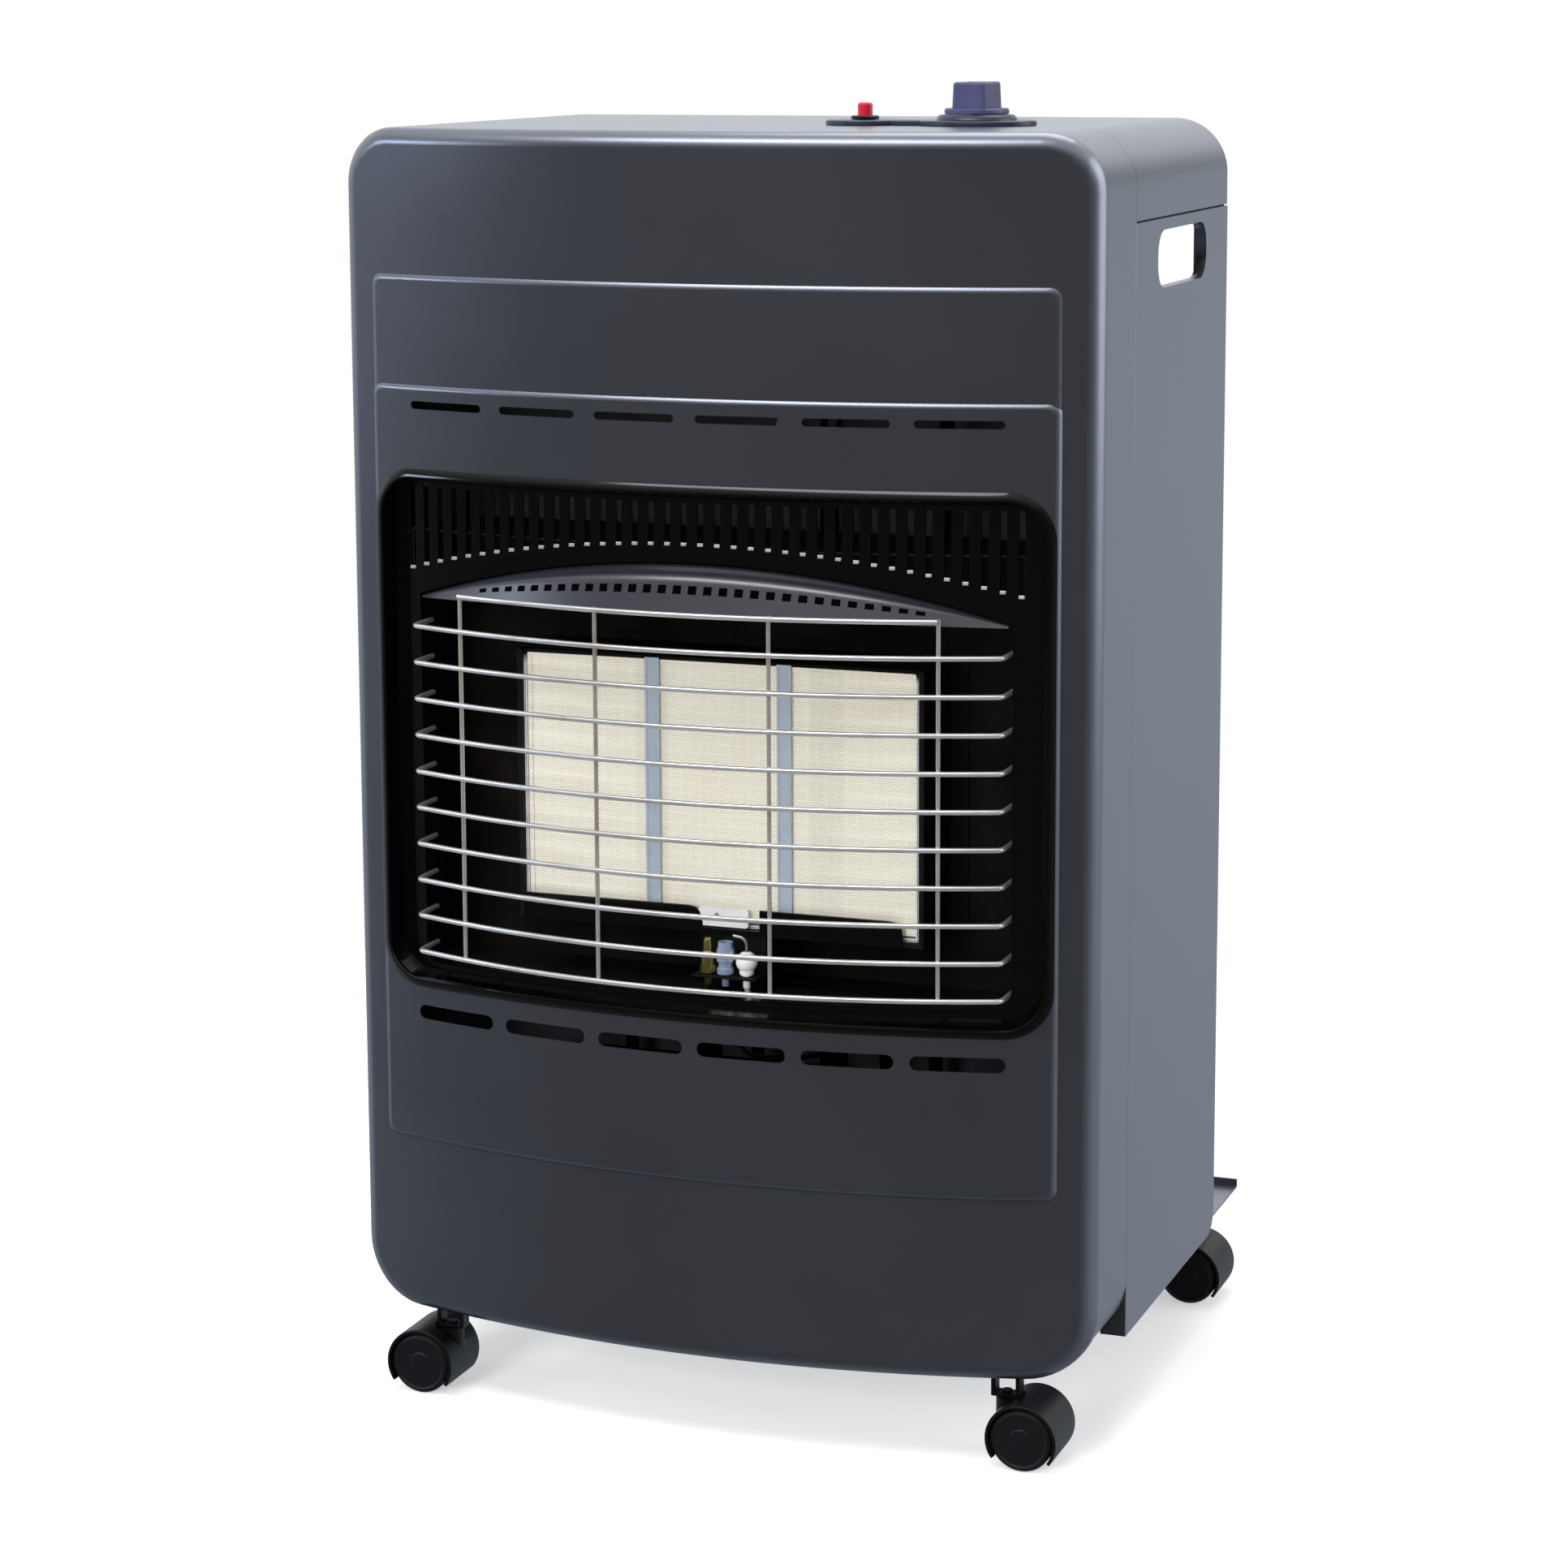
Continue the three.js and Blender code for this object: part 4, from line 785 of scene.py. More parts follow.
def make_front_panel():
    """The bowed face: its flange, two pressed steps, the window and two rows of vent slots."""
    step = sizes().step / MM
    top_corner, low_corner, middle = 30, 36, 300
    panel = block("front_panel_skin", (-HALF_WIDTH, HALF_WIDTH), (0, SEAM), (FACE_LOW, BODY_TOP))
    round_corners(panel, 1, top_corner, 12, lambda at: at.z > middle)
    round_corners(panel, 1, low_corner, 12, lambda at: at.z < middle)
    bevel(panel, lambda at, way: at.y < 0.01, sizes().face_edge / MM, 7)
    fuse(panel, pressed_step(BODY_TOP - 74.5, step))
    fuse(panel, pressed_step(510.5, 2 * step))
    pick(panel, "FACE", lambda at, way: way.y > 0.9 and at.y > SEAM - 1)
    bpy.ops.mesh.delete(type="FACE")
    done()
    modify(panel, "SOLIDIFY", thickness=SHEET * MM, offset=-1, use_even_offset=True)
    cut(panel, rounded_block("window", (-187, 187), (-20, 20), (183.5, 460.5), 1, 22, 8))
    cut(panel, vent_slots(497.5, 45, 4.2))
    cut(panel, vent_slots(166.5, 48.5, 7.8))
    cut(panel, block("low_cut", (-230, 230), (12, SEAM + 10), (-10, 17)))
    bowed(panel, HALF_WIDTH - 2, lambda at: at.y > SEAM - 3)
    finish_piece(panel, "body_paint", "front_panel", angle=28)


def make_top_cap():
    """The cap: a skin with rounded shoulders, an opening below and a flange behind, with a lip
    behind its seam on each side, finished black as painted shade in the seam."""
    low, front, shoulder = 595.4, SEAM + GAP, 30
    cap = block("top_cap_skin", (-HALF_WIDTH, HALF_WIDTH), (front, REAR_EDGE), (low, BODY_TOP))
    round_corners(cap, 1, shoulder, 14, lambda at: at.z > BODY_TOP - 1)
    bevel(cap, lambda at, way: at.y > REAR_EDGE - 0.01 and at.z > low + 1, 2, 4)
    pick(cap, "FACE", lambda at, way: way.z < -0.9 or way.y < -0.9)
    bpy.ops.mesh.delete(type="FACE")
    done()
    modify(cap, "SOLIDIFY", thickness=SHEET * MM, offset=-1, use_even_offset=True)
    lips = [block("lip", [side * (HALF_WIDTH - depth) for depth in (1.45, 3.4)],
                  (front + 2.5, REAR_EDGE - 3), (low - 7, low + 6)) for side in (-1, 1)]
    lips = join(*lips)
    lips.name = "cap_seam_shade_lips"
    bevel(lips, lambda at, way: abs(way.y) > 0.9, 0.3, 2)
    # Painted shade: the lips are finished black so that the seam reads dark.
    finish_piece(lips, "dark_steel")
    bevel(cap, lambda at, way: abs(at.z - low) < 0.01 and abs(at.x) > HALF_WIDTH - 0.05, 0.9, 2)
    inside, flange = HALF_WIDTH - SHEET - 0.1, BODY_TOP - 15
    bay = rounded_block("bay", (-inside, inside), (REAR_EDGE - 8, REAR_EDGE + 8),
                        (low - 40, BODY_TOP - 1.3), 1, shoulder - 1.4, 12)
    above = block("above", (-300, 300), (REAR_EDGE - 9, REAR_EDGE + 9), (flange, BODY_TOP + 9))
    cut(cap, cut(bay, above), *control_holes(600, 700))
    finish_piece(cap, "body_paint", "top_cap")


def control_holes(low, high):
    """Cutters for the spindle of the knob and the neck of the button."""
    return (rod("spindle_hole", (KNOB_X, CONTROL_Y, low), (KNOB_X, CONTROL_Y, high), SPINDLE_HOLE),
            rod("neck_hole", (BUTTON_X, CONTROL_Y, low), (BUTTON_X, CONTROL_Y, high), NECK_HOLE))


def make_side_panels():
    """The right-hand panel with its flanges and a rolled edge to its handle hole; its mirror."""
    front, high, outer = SEAM + GAP, 594.6, HALF_WIDTH
    panel = block("side_panel_right_skin", (outer - SHEET, outer), (front, REAR_EDGE), (0, high))
    round_corners(panel, 0, 15, 8, lambda at: at.y > REAR_EDGE - 1 and at.z < 1)
    for xs, ys, zs in (
        ((outer - 14, outer - 0.5), (front, front + SHEET), (0, high)),
        ((outer - 19, outer - 0.5), (REAR_EDGE - SHEET, REAR_EDGE), (23, high)),
        ((outer - 12, outer - 0.5), (front, REAR_EDGE - 15), (0, SHEET)),
    ):
        fuse(panel, block("flange", xs, ys, zs))

    def ends(at, way):
        return at.x > outer - 0.01 and (at.y < front + 1 or at.y > REAR_EDGE - 1)

    def around_hole(at, way):
        return at.x > outer - 0.01 and 100 < at.y < 215 and at.z > 540 and abs(way.x) < 0.5

    bevel(panel, ends, 0.9, 3)
    bevel(panel, lambda at, way: at.x > outer - 0.01 and at.z > high - 0.01, 0.9, 2)
    fuse(panel, rounded_block("roll", (outer - 6, outer - 0.2), (105, 212), (556, 590.5), 0, 15))
    cut(panel, rounded_block("hole", (outer - 20, outer + 5), (107, 210), (558, 588.5), 0, 13))
    bevel(panel, around_hole, 1.1, 4)
    other = copy_of(panel, "side_panel_left_skin")
    pick_all(other)
    scale_about((-1, 1, 1), (0, 0, 0))
    face_out()
    for side, piece in (("right", panel), ("left", other)):
        finish_piece(piece, "body_paint", f"side_panel_{side}")


# ---------------------------------------------------------------- window


def arch_at(x):
    return OPENING_SIDE + (OPENING_TOP - OPENING_SIDE) * (1 - (x / OPENING_HALF) ** 2)


def opening_outline():
    """Outline of the arched opening, from its low left corner, anticlockwise."""
    radius = 7
    side, foot = OPENING_HALF - radius, OPENING_LOW + radius
    top = [OPENING_HALF * (1 - step / 16) for step in range(33)]
    return (arc(-side, foot, radius, 180, 270, 6) + arc(side, foot, radius, 270, 360, 6) +
            [(x, arch_at(x)) for x in top])


def louvre_foot(x):
    end = LOUVRE_PITCH * (LOUVRES - 1) / 2
    return 408.5 + 22.5 * (1 - (x / end) ** 2)


def louvre_places():
    return [(index - (LOUVRES - 1) / 2) * LOUVRE_PITCH for index in range(LOUVRES)]


def make_window_surround():
    """The dished surround: its bead and walls, the panel behind with its louvres, the opening, and
    pale steel tabs at the feet of the louvres that stand in for glints there, a painted highlight."""
    bead = sizes().bead / MM
    top, under, floor, back = -4.9, -2.7, 7.6, 8.8
    half, middle = WINDOW_HALF, (WINDOW_LOW + WINDOW_HIGH) / 2
    ring = rounded_block("window_surround_skin", (-half, half), (top + 1.9, under),
                         (WINDOW_LOW, WINDOW_HIGH), 1, WINDOW_CORNER, 12)
    pick(ring, "FACE", lambda at, way: way.y > 0.9)
    bpy.ops.mesh.inset(thickness=3.3 * MM)
    push((0, back - under, 0))
    done()
    pick(ring, "FACE", faces_front)
    for inward, forward in ((0.16, 0.6), (0.2, 0.6), (0.16, 0.35), (0.14, 0.25), (0.08, 0.1),
                            (0.1, -0.2), (0.1, -0.7)):
        bpy.ops.mesh.inset(thickness=inward * bead * MM, depth=forward * MM)
    push((0, 3, 0))
    push((0, floor - top - 4, 0))
    scale_about((0.985, 1, 0.98), (0, floor, middle))
    done()
    bevel(ring, lambda at, way: abs(at.y - floor) < 0.01, 3.5, 4)
    outline = [(x, -20, z) for x, z in opening_outline()]
    cut(ring, slab("opening", outline, (0, 40, 0)))
    cut(ring, join(*(block("louvre", (x - 1.7, x + 1.7), (-5, 12), (louvre_foot(x), 453))
                     for x in louvre_places())))
    bowed(ring, half - 1)
    finish_piece(ring, "gloss_black", "window_surround", angle=30)
    # Painted highlight: pale steel tabs with their top edge tilted to the light stand in for glints
    # on the black enamel.
    tabs = []
    for x in louvre_places():
        foot = louvre_foot(x)
        tab = block("tab", (x - 1.5, x + 1.5), (6.4, 8.7), (foot - 0.4, foot + 1.2))
        pick(tab, "EDGE", lambda at, way: at.z > foot + 1.1 and at.y < 7)
        bpy.ops.transform.translate(value=Vector((0, 0.7, 0.2)) * MM)
        done()
        tabs.append(move(tab, (0, bow_at(x), 0)))
    tabs = join(*tabs)
    tabs.name = "louvre_glint_tabs"
    bevel(tabs, lambda at, way: abs(way.x) > 0.9, 0.25, 2)
    finish_piece(tabs, "galvanised_steel")


def visor_place(x, along):
    """Depth and height of the visor, along from 1 at the arch to 0 at its lip."""
    middle = max(1 - (x / OPENING_HALF) ** 2, 0.0)
    root_y, root_z = bow_at(x) + 8.2, arch_at(x) - 1.3
    lip_y, lip_z = root_y - 2 - 15 * middle, 393 + 4 * middle
    t = 1 - along
    roll = min(t / 0.25, 1) * math.pi / 2
    y = root_y + (lip_y - root_y) * (0.5 * math.sin(roll) + 0.5 * t)
    z = root_z + (lip_z - root_z) * (0.1 * (1 - math.cos(roll)) + 0.9 * t)
    return y, z


def make_visor_hood():
    """The pressed visor: a curved strip from the arch down and forward, with small slots."""
    width, drop, slots, slot_pitch = 2 * (OPENING_HALF - 2), 30, 30, 8.4
    deselect()
    bpy.ops.mesh.primitive_grid_add(
        x_subdivisions=80, y_subdivisions=24, size=1, location=(0, 0, 0))
    visor = named("visor_hood_skin")
    visor.scale = (width * MM, drop * MM, 1)
    apply_place()
    places = [(index - (slots - 1) / 2) * slot_pitch for index in range(slots)]
    cutter = join(*(block("visor_slot", (x - 2.3, x + 2.3), (-0.5, 5.5), (-3, 3)) for x in places))
    modify(visor, "SOLIDIFY", thickness=0.9 * MM, offset=-1)
    cut(visor, cutter)
    flat = [vertex.co / MM for vertex in visor.data.vertices]
    targets = [visor_place(at.x, min(max(at.y / drop + 0.5, 0), 1)) for at in flat]
    heights, depths = iter([z for y, z in targets]), iter([y for y, z in targets])
    sheet = iter([at.z * 0.9 for at in flat])
    press(visor, "Z", lambda at: next(heights) - at.z)
    press(visor, "Y", lambda at: next(depths) - next(sheet) - at.y)
    pick_all(visor)
    face_out()
    # The visor's finish is the black enamel with a painted bluish sheen.
    finish_piece(visor, "gloss_black", "visor_hood", look="visor_painted_sheen", angle=40)


def guard_depth(x):
    corner = bow_at(160) - 4.77
    middle = bow_at(0) - 14.5
    return middle + (corner - middle) * (x / 160) ** 2


def make_fireguard():
    """Ten bowed wires with their ends bent back, a top wire and four uprights welded behind."""
    radius = sizes().wire / MM
    side, corner = OPENING_HALF - GAP - 1.4, guard_depth(160)
    bow = [(x * 160 / 12, guard_depth(x * 160 / 12)) for x in range(-12, 13)]
    bend = [(162.4, corner + 0.9), (164.0, corner + 2.9), (side, corner + 5.4), (side, 4.4)]
    line = [(-x, y) for x, y in reversed(bend)] + bow + bend
    top = [(x * 133 / 10, guard_depth(x * 133 / 10), GUARD_TOP) for x in range(-10, 11)]
    rows = [wire("guard", [(x, y, height) for x, y in line], radius) for height in GUARD_ROWS]
    rows.append(wire("guard", top, radius))
    uprights = []
    for x in (-133, -48, 48, 133):
        y = guard_depth(x) + 2.3
        ends = [(x, y, GUARD_ROWS[0] - 1.2), (x, y, 300), (x, y, GUARD_TOP + 1.2)]
        uprights.append(wire("upright", ends, radius * 0.86))
    guard, stays = join(*rows), join(*uprights)
    guard.name, stays.name = "fireguard_rows", "fireguard_uprights"
    nodes = ["fireguard"] + [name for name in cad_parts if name.startswith("guard_frame")]
    finish_piece(guard, "guard_chrome", *nodes, angle=50, weighted=False)
    finish_piece(stays, "guard_chrome", look="aged_wire", angle=50, weighted=False)


# ---------------------------------------------------------------- burners


def make_burners():
    """A burner housing with a rolled rim and its ceramic plaque, copied three times, and the two
    strips that cover the joints."""
    half, low, high = 37.1, 222, (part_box("burner_housing_centre")[1].z - HOME.z) / MM
    front, back, tube_y = 7, 53.3, 64
    housing = block("housing", (-half, half), (front, back), (low, high))
    dish(housing, 1.5, 13.6)
    round_corners(housing, 1, 1.2, 3)
    bevel(housing, lambda at, way: at.y < front + 0.01, 0.6, 2)
    neck = block("neck", (-9, 9), (back - 2, tube_y), (234, 252))
    tube = turned("tube", [(0, 150), (7.8, 150), (7.8, 151), (9, 151), (9, 236), (9, 250), (7, 252),
                           (0, 252)], (0, tube_y, 0))
    fuse(housing, neck, tube)
    cut(housing, rod("mouth", (0, tube_y, 140), (0, tube_y, 248), 7.6))
    plaque = block("plaque", (-35.4, 35.4), (7.6, 20.5), (224.6, high - 1.2))
    bevel(plaque, lambda at, way: at.y < 7.7, 0.5, 2)
    dish(plaque, 2.2, 0.5)
    for side, x in (("left", -BURNER_PITCH), ("centre", 0), ("right", BURNER_PITCH)):
        shell = move(copy_of(housing, f"burner_shell_{side}"), (x, 0, 0))
        finish_piece(shell, "burner_steel", f"burner_housing_{side}")
        face = move(copy_of(plaque, f"plaque_face_{side}"), (x, 0, 0))
        finish_piece(face, "ceramic", f"ceramic_plaque_{side}")
    bpy.data.objects.remove(housing)
    bpy.data.objects.remove(plaque)
    for side, x in (("left", -BURNER_PITCH / 2), ("right", BURNER_PITCH / 2)):
        strip = block(f"burner_joint_{side}", (x - 4.1, x + 4.1), (6.2, 6.9),
                      (low + 0.6, high - 0.6))
        dish(strip, 1.4, 0.3)
        bevel(strip, lambda at, way: at.y < 6.3, 0.25, 2)
        finish_piece(strip, "burner_steel", look="joint_steel")


def make_burner_box():
    """The box around the burners, their bracket, and the black strip over their foot with the pale
    tab in its notch."""
    refined("reflector_box", "reflector_box_skin", "dark_steel", 0.4)
    refined("burner_bracket", "burner_bracket_skin", "dark_steel", 0.4)
    refined("flame_shield", "flame_shield_skin", "gloss_black", 0.4)
    tab = rounded_block("shield_tab", (-10.6, 17.6), (3.6, 4.5), (222.6, 232.6), 1, 1.5, 4)
    cut(tab, rod("hole", (0, 0, 228.5), (0, 10, 228.5), 1.5, 20))
    finish_piece(tab, "burner_steel")


def make_pilot_group():
    """The pilot burner, thermocouple and spark electrode on their cranked bracket."""
    refined("pilot_bracket", "pilot_bracket_skin", "dark_steel", 0.25)
    seat, y = 199.8, -5
    nut = [(0, 193), (2, 193), (2, seat), (4.4, seat), (4.4, seat + 4)]
    hexagon = turned("thermocouple_tip", nut, (-2, y, 0), steps=6)
    stem = turned("stem", [
        (0, seat + 3.8), (3.6, seat + 3.8), (3.6, seat + 10), (3.0, seat + 10.8),
        (2.3, seat + 11.6), (2.3, seat + 17), (1.6, seat + 18.4), (0, seat + 18.4)], (-2, y, 0))
    finish_piece(join(hexagon, stem), "brass", "thermocouple")
    pilot = turned("pilot_jet", [
        (0, 193), (2, 193), (2, seat), (4.6, seat), (4.6, seat + 3), (3.8, seat + 3.6),
        (3.8, seat + 6), (4.8, seat + 6.8), (4.8, seat + 13), (4.0, seat + 14.4), (4.0, seat + 17),
        (2.8, seat + 17), (2.8, seat + 13), (0, seat + 13)], (8, y, 0))
    finish_piece(pilot, "galvanised_steel", "pilot_burner", look="pilot_steel")
    body = turned("electrode_body", [
        (0, 193), (2, 193), (2, seat), (3.4, seat), (4.0, seat + 1), (4.0, seat + 3),
        (5.2, seat + 4.4), (5.9, seat + 6.6), (5.6, seat + 9), (4.2, seat + 11), (2.4, seat + 12.4),
        (0, seat + 12.6)], (20, y, 0))
    finish_piece(body, "white_ceramic", "ignition_electrode")
    spark = wire("electrode_pin", [(20, y, seat + 11), (20, y, seat + 16.5), (19.2, y, seat + 18.5),
                                   (17.0, y, seat + 20), (12.5, y, seat + 20.6)], 0.8)
    finish_piece(spark, "galvanised_steel", weighted=False)


# ---------------------------------------------------------------- controls


def make_control_plate():
    """The plate on the cap: a round and an oval end joined by a waist, with a raised ring."""
    top = PLATE_HIGH
    points = (arc(KNOB_X, CONTROL_Y, 32, -154, 154, 48, 25) +
              arc(BUTTON_X, CONTROL_Y, 21, 32, 328, 40))
    plate = slab("control_plate_skin", [(x, y, PLATE_LOW) for x, y in points],
                 (0, 0, PLATE_HIGH - PLATE_LOW))
    bevel(plate, lambda at, way: at.z > top - 0.01, 1.0, 4)
    fuse(plate, turned("ring", [
        (17.6, top - 1.25), (21.6, top - 1.25), (21.2, top + 0.8), (20.4, top + 2.2),
        (19.2, top + 2.9), (18.2, top + 2.8), (17.6, top + 2.2), (17.6, top - 1.25)],
        (KNOB_X, CONTROL_Y, 0), steps=64))
    cut(plate, *control_holes(630, 660))
    finish_piece(plate, "control_plate", "control_plate")


def make_knob():
    """The gas knob: a bar grip with a mark on a round skirt."""
    low, top, x, y = 649.1, 665.8, KNOB_X, CONTROL_Y
    knob = turned("control_knob_grip", [
        (0, low), (16.6, low), (17, low + 0.4), (17, low + 2.2), (16.2, low + 3), (0, low + 3)],
        (x, y, 0), steps=64)
    grip = block("grip", (x - 9.6, x + 9.6), (y - 14.6, y + 14.6), (low + 1, top))
    round_corners(grip, 2, 2.2, 5)
    pick(grip, "FACE", lambda at, way: way.z > 0.9)
    scale_about((0.93, 0.97, 1), (x, y, top))
    done()
    bevel(grip, lambda at, way: at.z > top - 0.01, 1.4, 4)
    fuse(knob, grip)
    mark = rounded_block("mark", (x - 0.6, x + 0.6), (y - 13.5, y - 4), (top - 0.5, top + 1),
                         2, 0.5, 3)
    cut(knob, mark, rod("bore", (x, y, 640), (x, y, 659), 3.3))
    finish_piece(knob, "knob_plastic", "control_knob", body="control_knob")


def make_button():
    """The igniter button and the collar that it slides in."""
    seat = PLATE_HIGH + GAP
    foot = PLATE_HIGH - 14
    low, top = foot + 5.1, PLATE_HIGH + 9
    button = turned("igniter_button_cap", [
        (0, low), (4, low), (4, top - 1.3), (3.7, top - 0.5), (3.0, top), (2.4, top),
        (2.0, top - 0.35), (0, top - 0.45)], (BUTTON_X, CONTROL_Y, 0))
    finish_piece(button, "red_plastic", "igniter_button", body="igniter_button")
    body = turned("piezo_body", [
        (0, 591.5), (2.2, 591.5), (2.2, 594), (9, 594), (9, 600), (8.4, 600.6), (8.4, 612),
        (9, 612.6), (9, 641.5), (6, 641.5), (6, seat), (7.5, seat), (7.5, seat + 1.2),
        (6.9, seat + 1.8), (4.3, seat + 1.8), (4.3, foot), (0, foot)], (BUTTON_X, CONTROL_Y, 0))
    finish_piece(body, "black_plastic", "piezo_igniter")


# ---------------------------------------------------------------- casters


CASTERS = (("front_left", -161, 8, -1), ("front_right", 161, 8, 1),
           ("rear_left", -177.5, 295, -1), ("rear_right", 177.5, 295, 1))


def wheel_profile():
    """Half of one wheel, from its hub bore out over the tread and in over its dished face."""
    r = WHEEL_RADIUS
    return [(2.7, 6.3), (r - 1, 6.3), (r, 7.2), (r, 16.2), (r - 0.5, 17.2), (r - 1.4, 17.9),
            (r - 2.6, 18.3), (r - 3.4, 17.7), (r - 4.2, 17.6), (6.4, 17.6), (5.8, 18.1),
            (4.6, 18.3), (0, 18.3), (0, 16.3), (2.7, 16.3), (2.7, 6.3)]


def caster_hood():
    """The fork: a hood over both wheels, a web between them, the neck, its pin and the axle."""
    x, z, width, droop = CASTER_TRAIL, WHEEL_CENTRE, 38, 35
    outer, inner, seat = 19.5, 17.7, -19.5
    outline = arc(x, z, outer, -droop, 180 + droop, 32)
    outline += arc(x, z, inner, 180 + droop, -droop, 32)
    hood = slab("fork", [(a, -width / 2, b) for a, b in outline], (0, width, 0))

    def rims(at, way):
        return (abs(abs(at.y) - width / 2) < 0.01 and
                Vector((at.x - x, at.z - z)).length > (outer + inner) / 2)

    bevel(hood, rims, 0.8, 3)
    fuse(hood, rod("web", (x, -6, z), (x, 6, z), 16.5, 40),
         block("link", (x - 5, x + 5), (-6, 6), (z + 10, z + 18.3)),
         rod("neck", (0, 0, z), (0, 0, seat), 6, 32))
    cut(hood, rod("room", (0, 0, seat), (0, 0, 12), 11.9 / 1.2, 40))
    return fuse(hood, rod("pin", (0, 0, seat - 2), (0, 0, -15.9), 2.6, 20),
                rod("axle", (x, -8, z), (x, 8, z), 2.4, 20))


def make_casters():
    """Hooded twin-wheel casters: the strap, the fork with its axle and the wheels, four times."""
    hub = (CASTER_TRAIL, 0, WHEEL_CENTRE)
    wheel = turned("wheel", wheel_profile(), hub, "Y", 56)
    hood = caster_hood()
    for name, x, y, side in CASTERS:
        for letter, flip in (("a", -side), ("b", side)):
            piece = copy_of(wheel, f"wheel_{name}_{letter}")
            if flip != 1:
                half_turn(piece, hub)
            place_caster(piece, x, y, side)
            finish_piece(piece, "wheel_plastic", f"caster_wheel_{name}_{letter}",
                         body=f"wheel_{name}_{letter}")
        shell = place_caster(copy_of(hood, f"caster_hood_{name}"), x, y, side)
        finish_piece(shell, "black_plastic", f"caster_fork_{name}", body=f"caster_{name}")
        refined(f"caster_strap_{name}", f"caster_bracket_{name}", "black_plastic", 0.4)
    bpy.data.objects.remove(wheel)
    bpy.data.objects.remove(hood)


def place_caster(piece, x, y, side):
    """Moves a caster piece to its place, turned round on the left-hand side."""
    if side < 0:
        half_turn(piece, (0, 0, 0))
    return move(piece, (x, y, 0))


# ---------------------------------------------------------------- stage


AMBIENT = 0.36  # what the world adds to matt surfaces
PHOTO_WIDTH = 1932  # pixels; the focal length and shift below are in them too
FOCAL_LENGTH, SHIFT = 4709.7, -200
SENSOR = 36


def make_stage():
    """The floor, which keeps the shadow of the heater, and the world, lamps and camera."""
    bpy.context.scene.view_settings.view_transform = "Standard"
    deselect()
    bpy.ops.mesh.primitive_circle_add(
        vertices=96, radius=1.0, fill_type="NGON", location=(0, 0, -0.0003))
    floor = named("stage_floor")
    apply_place()
    material = bpy.data.materials.new("stage_floor")
    material.use_nodes = True
    nodes = Nodes(material.node_tree)
    nodes.tree.nodes.remove(nodes.tree.nodes["Principled BSDF"])
    matt = nodes.node("ShaderNodeBsdfDiffuse", {}, {0: (*colours().floor, 1)})
    glow = nodes.node("ShaderNodeEmission", {}, {1: nodes.ray("Camera") * 0.5})
    both = nodes.node("ShaderNodeAddShader", {}, {0: matt, 1: glow})
    nodes.feed(nodes.tree.nodes["Material Output"].inputs[0], both)
    floor.data.materials.append(material)
    floor.visible_glossy = False
    make_world()
    make_lamps()
    make_camera()


def make_world():
    """White to the camera. To a mirrored ray it is dim ahead of the heater, bluish and brighter
    towards its sides, white above, and shaded low down and behind the right-hand shoulder."""
    world = bpy.data.worlds.new("studio")
    bpy.context.scene.world = world
    world.use_nodes = True
    nodes = Nodes(world.node_tree)
    way = nodes.node("ShaderNodeTexCoord", {}, {}, "Generated")
    right, back, up = (nodes.axis(index, way) for index in range(3))
    turned_away = nodes.between(back, -0.74, 0.2, kind="SMOOTHSTEP")
    low = nodes.between(up, -0.7, -0.12)
    level_up = nodes.between(up, -0.1, 0.14)
    shoulder = nodes.between((up - 0.1).absolute(), 0.03, 0.2, 1.0, 0.0)
    shoulder = shoulder * nodes.between(right, 0.05, 0.25)
    around = 0.1 + turned_away * (0.2 + low * 0.42 + level_up * 0.42) * (1 - shoulder * 0.75)
    around = around.largest(nodes.between(up, 0.34, 0.7, 0.1, 1.0))
    glossy = nodes.ray("Glossy") * (around - AMBIENT) + AMBIENT
    level = nodes.ray("Camera").largest(glossy).largest(nodes.ray("Transmission"))
    tint = nodes.between(back, -0.9, -0.4) * (1 - level_up * 0.75) * nodes.ray("Glossy")
    background = nodes.tree.nodes["Background"]
    nodes.feed(background.inputs[0], nodes.mix(tint, (1, 1, 1), (0.84, 0.94, 1.06)))
    nodes.feed(background.inputs[1], level)


def make_lamps():
    """Soft boxes to the sides and above, and a front fill that the gloss does not mirror. Each has
    a name, place, width, height, power in watts, tint and whether it is mirrored."""
    middle = Vector((0, 0, 0.36))
    for name, place, width, height, power, tint, mirrored in (
        ("right_softbox", (2.4, 0.7, 1.1), 1.8, 1.8, 24, (0.95, 0.97, 1.0), True),
        ("left_softbox", (-1.9, -1.2, 1.15), 0.4, 0.3, 6, (0.7, 0.8, 1.0), True),
        ("top_softbox", (0.2, 0.7, 2.4), 1.6, 1.2, 18, (1.0, 1.0, 1.0), True),
        ("top_strip", (-0.3, -1.3, 2.3), 1.6, 0.5, 24, (0.95, 0.96, 1.0), True),
        ("front_fill", (-0.5, -2.6, 0.95), 0.8, 0.8, 44, (1.0, 0.995, 0.985), False),
    ):
        lamp = bpy.data.lights.new(name, "AREA")
        lamp.shape = "RECTANGLE"
        lamp.size, lamp.size_y = width, height
        lamp.energy = power
        lamp.color = tint
        stand = bpy.data.objects.new(name, lamp)
        bpy.context.scene.collection.objects.link(stand)
        stand.visible_glossy = mirrored
        stand.location = place
        stand.rotation_euler = (middle - Vector(place)).to_track_quat("-Z", "Y").to_euler()


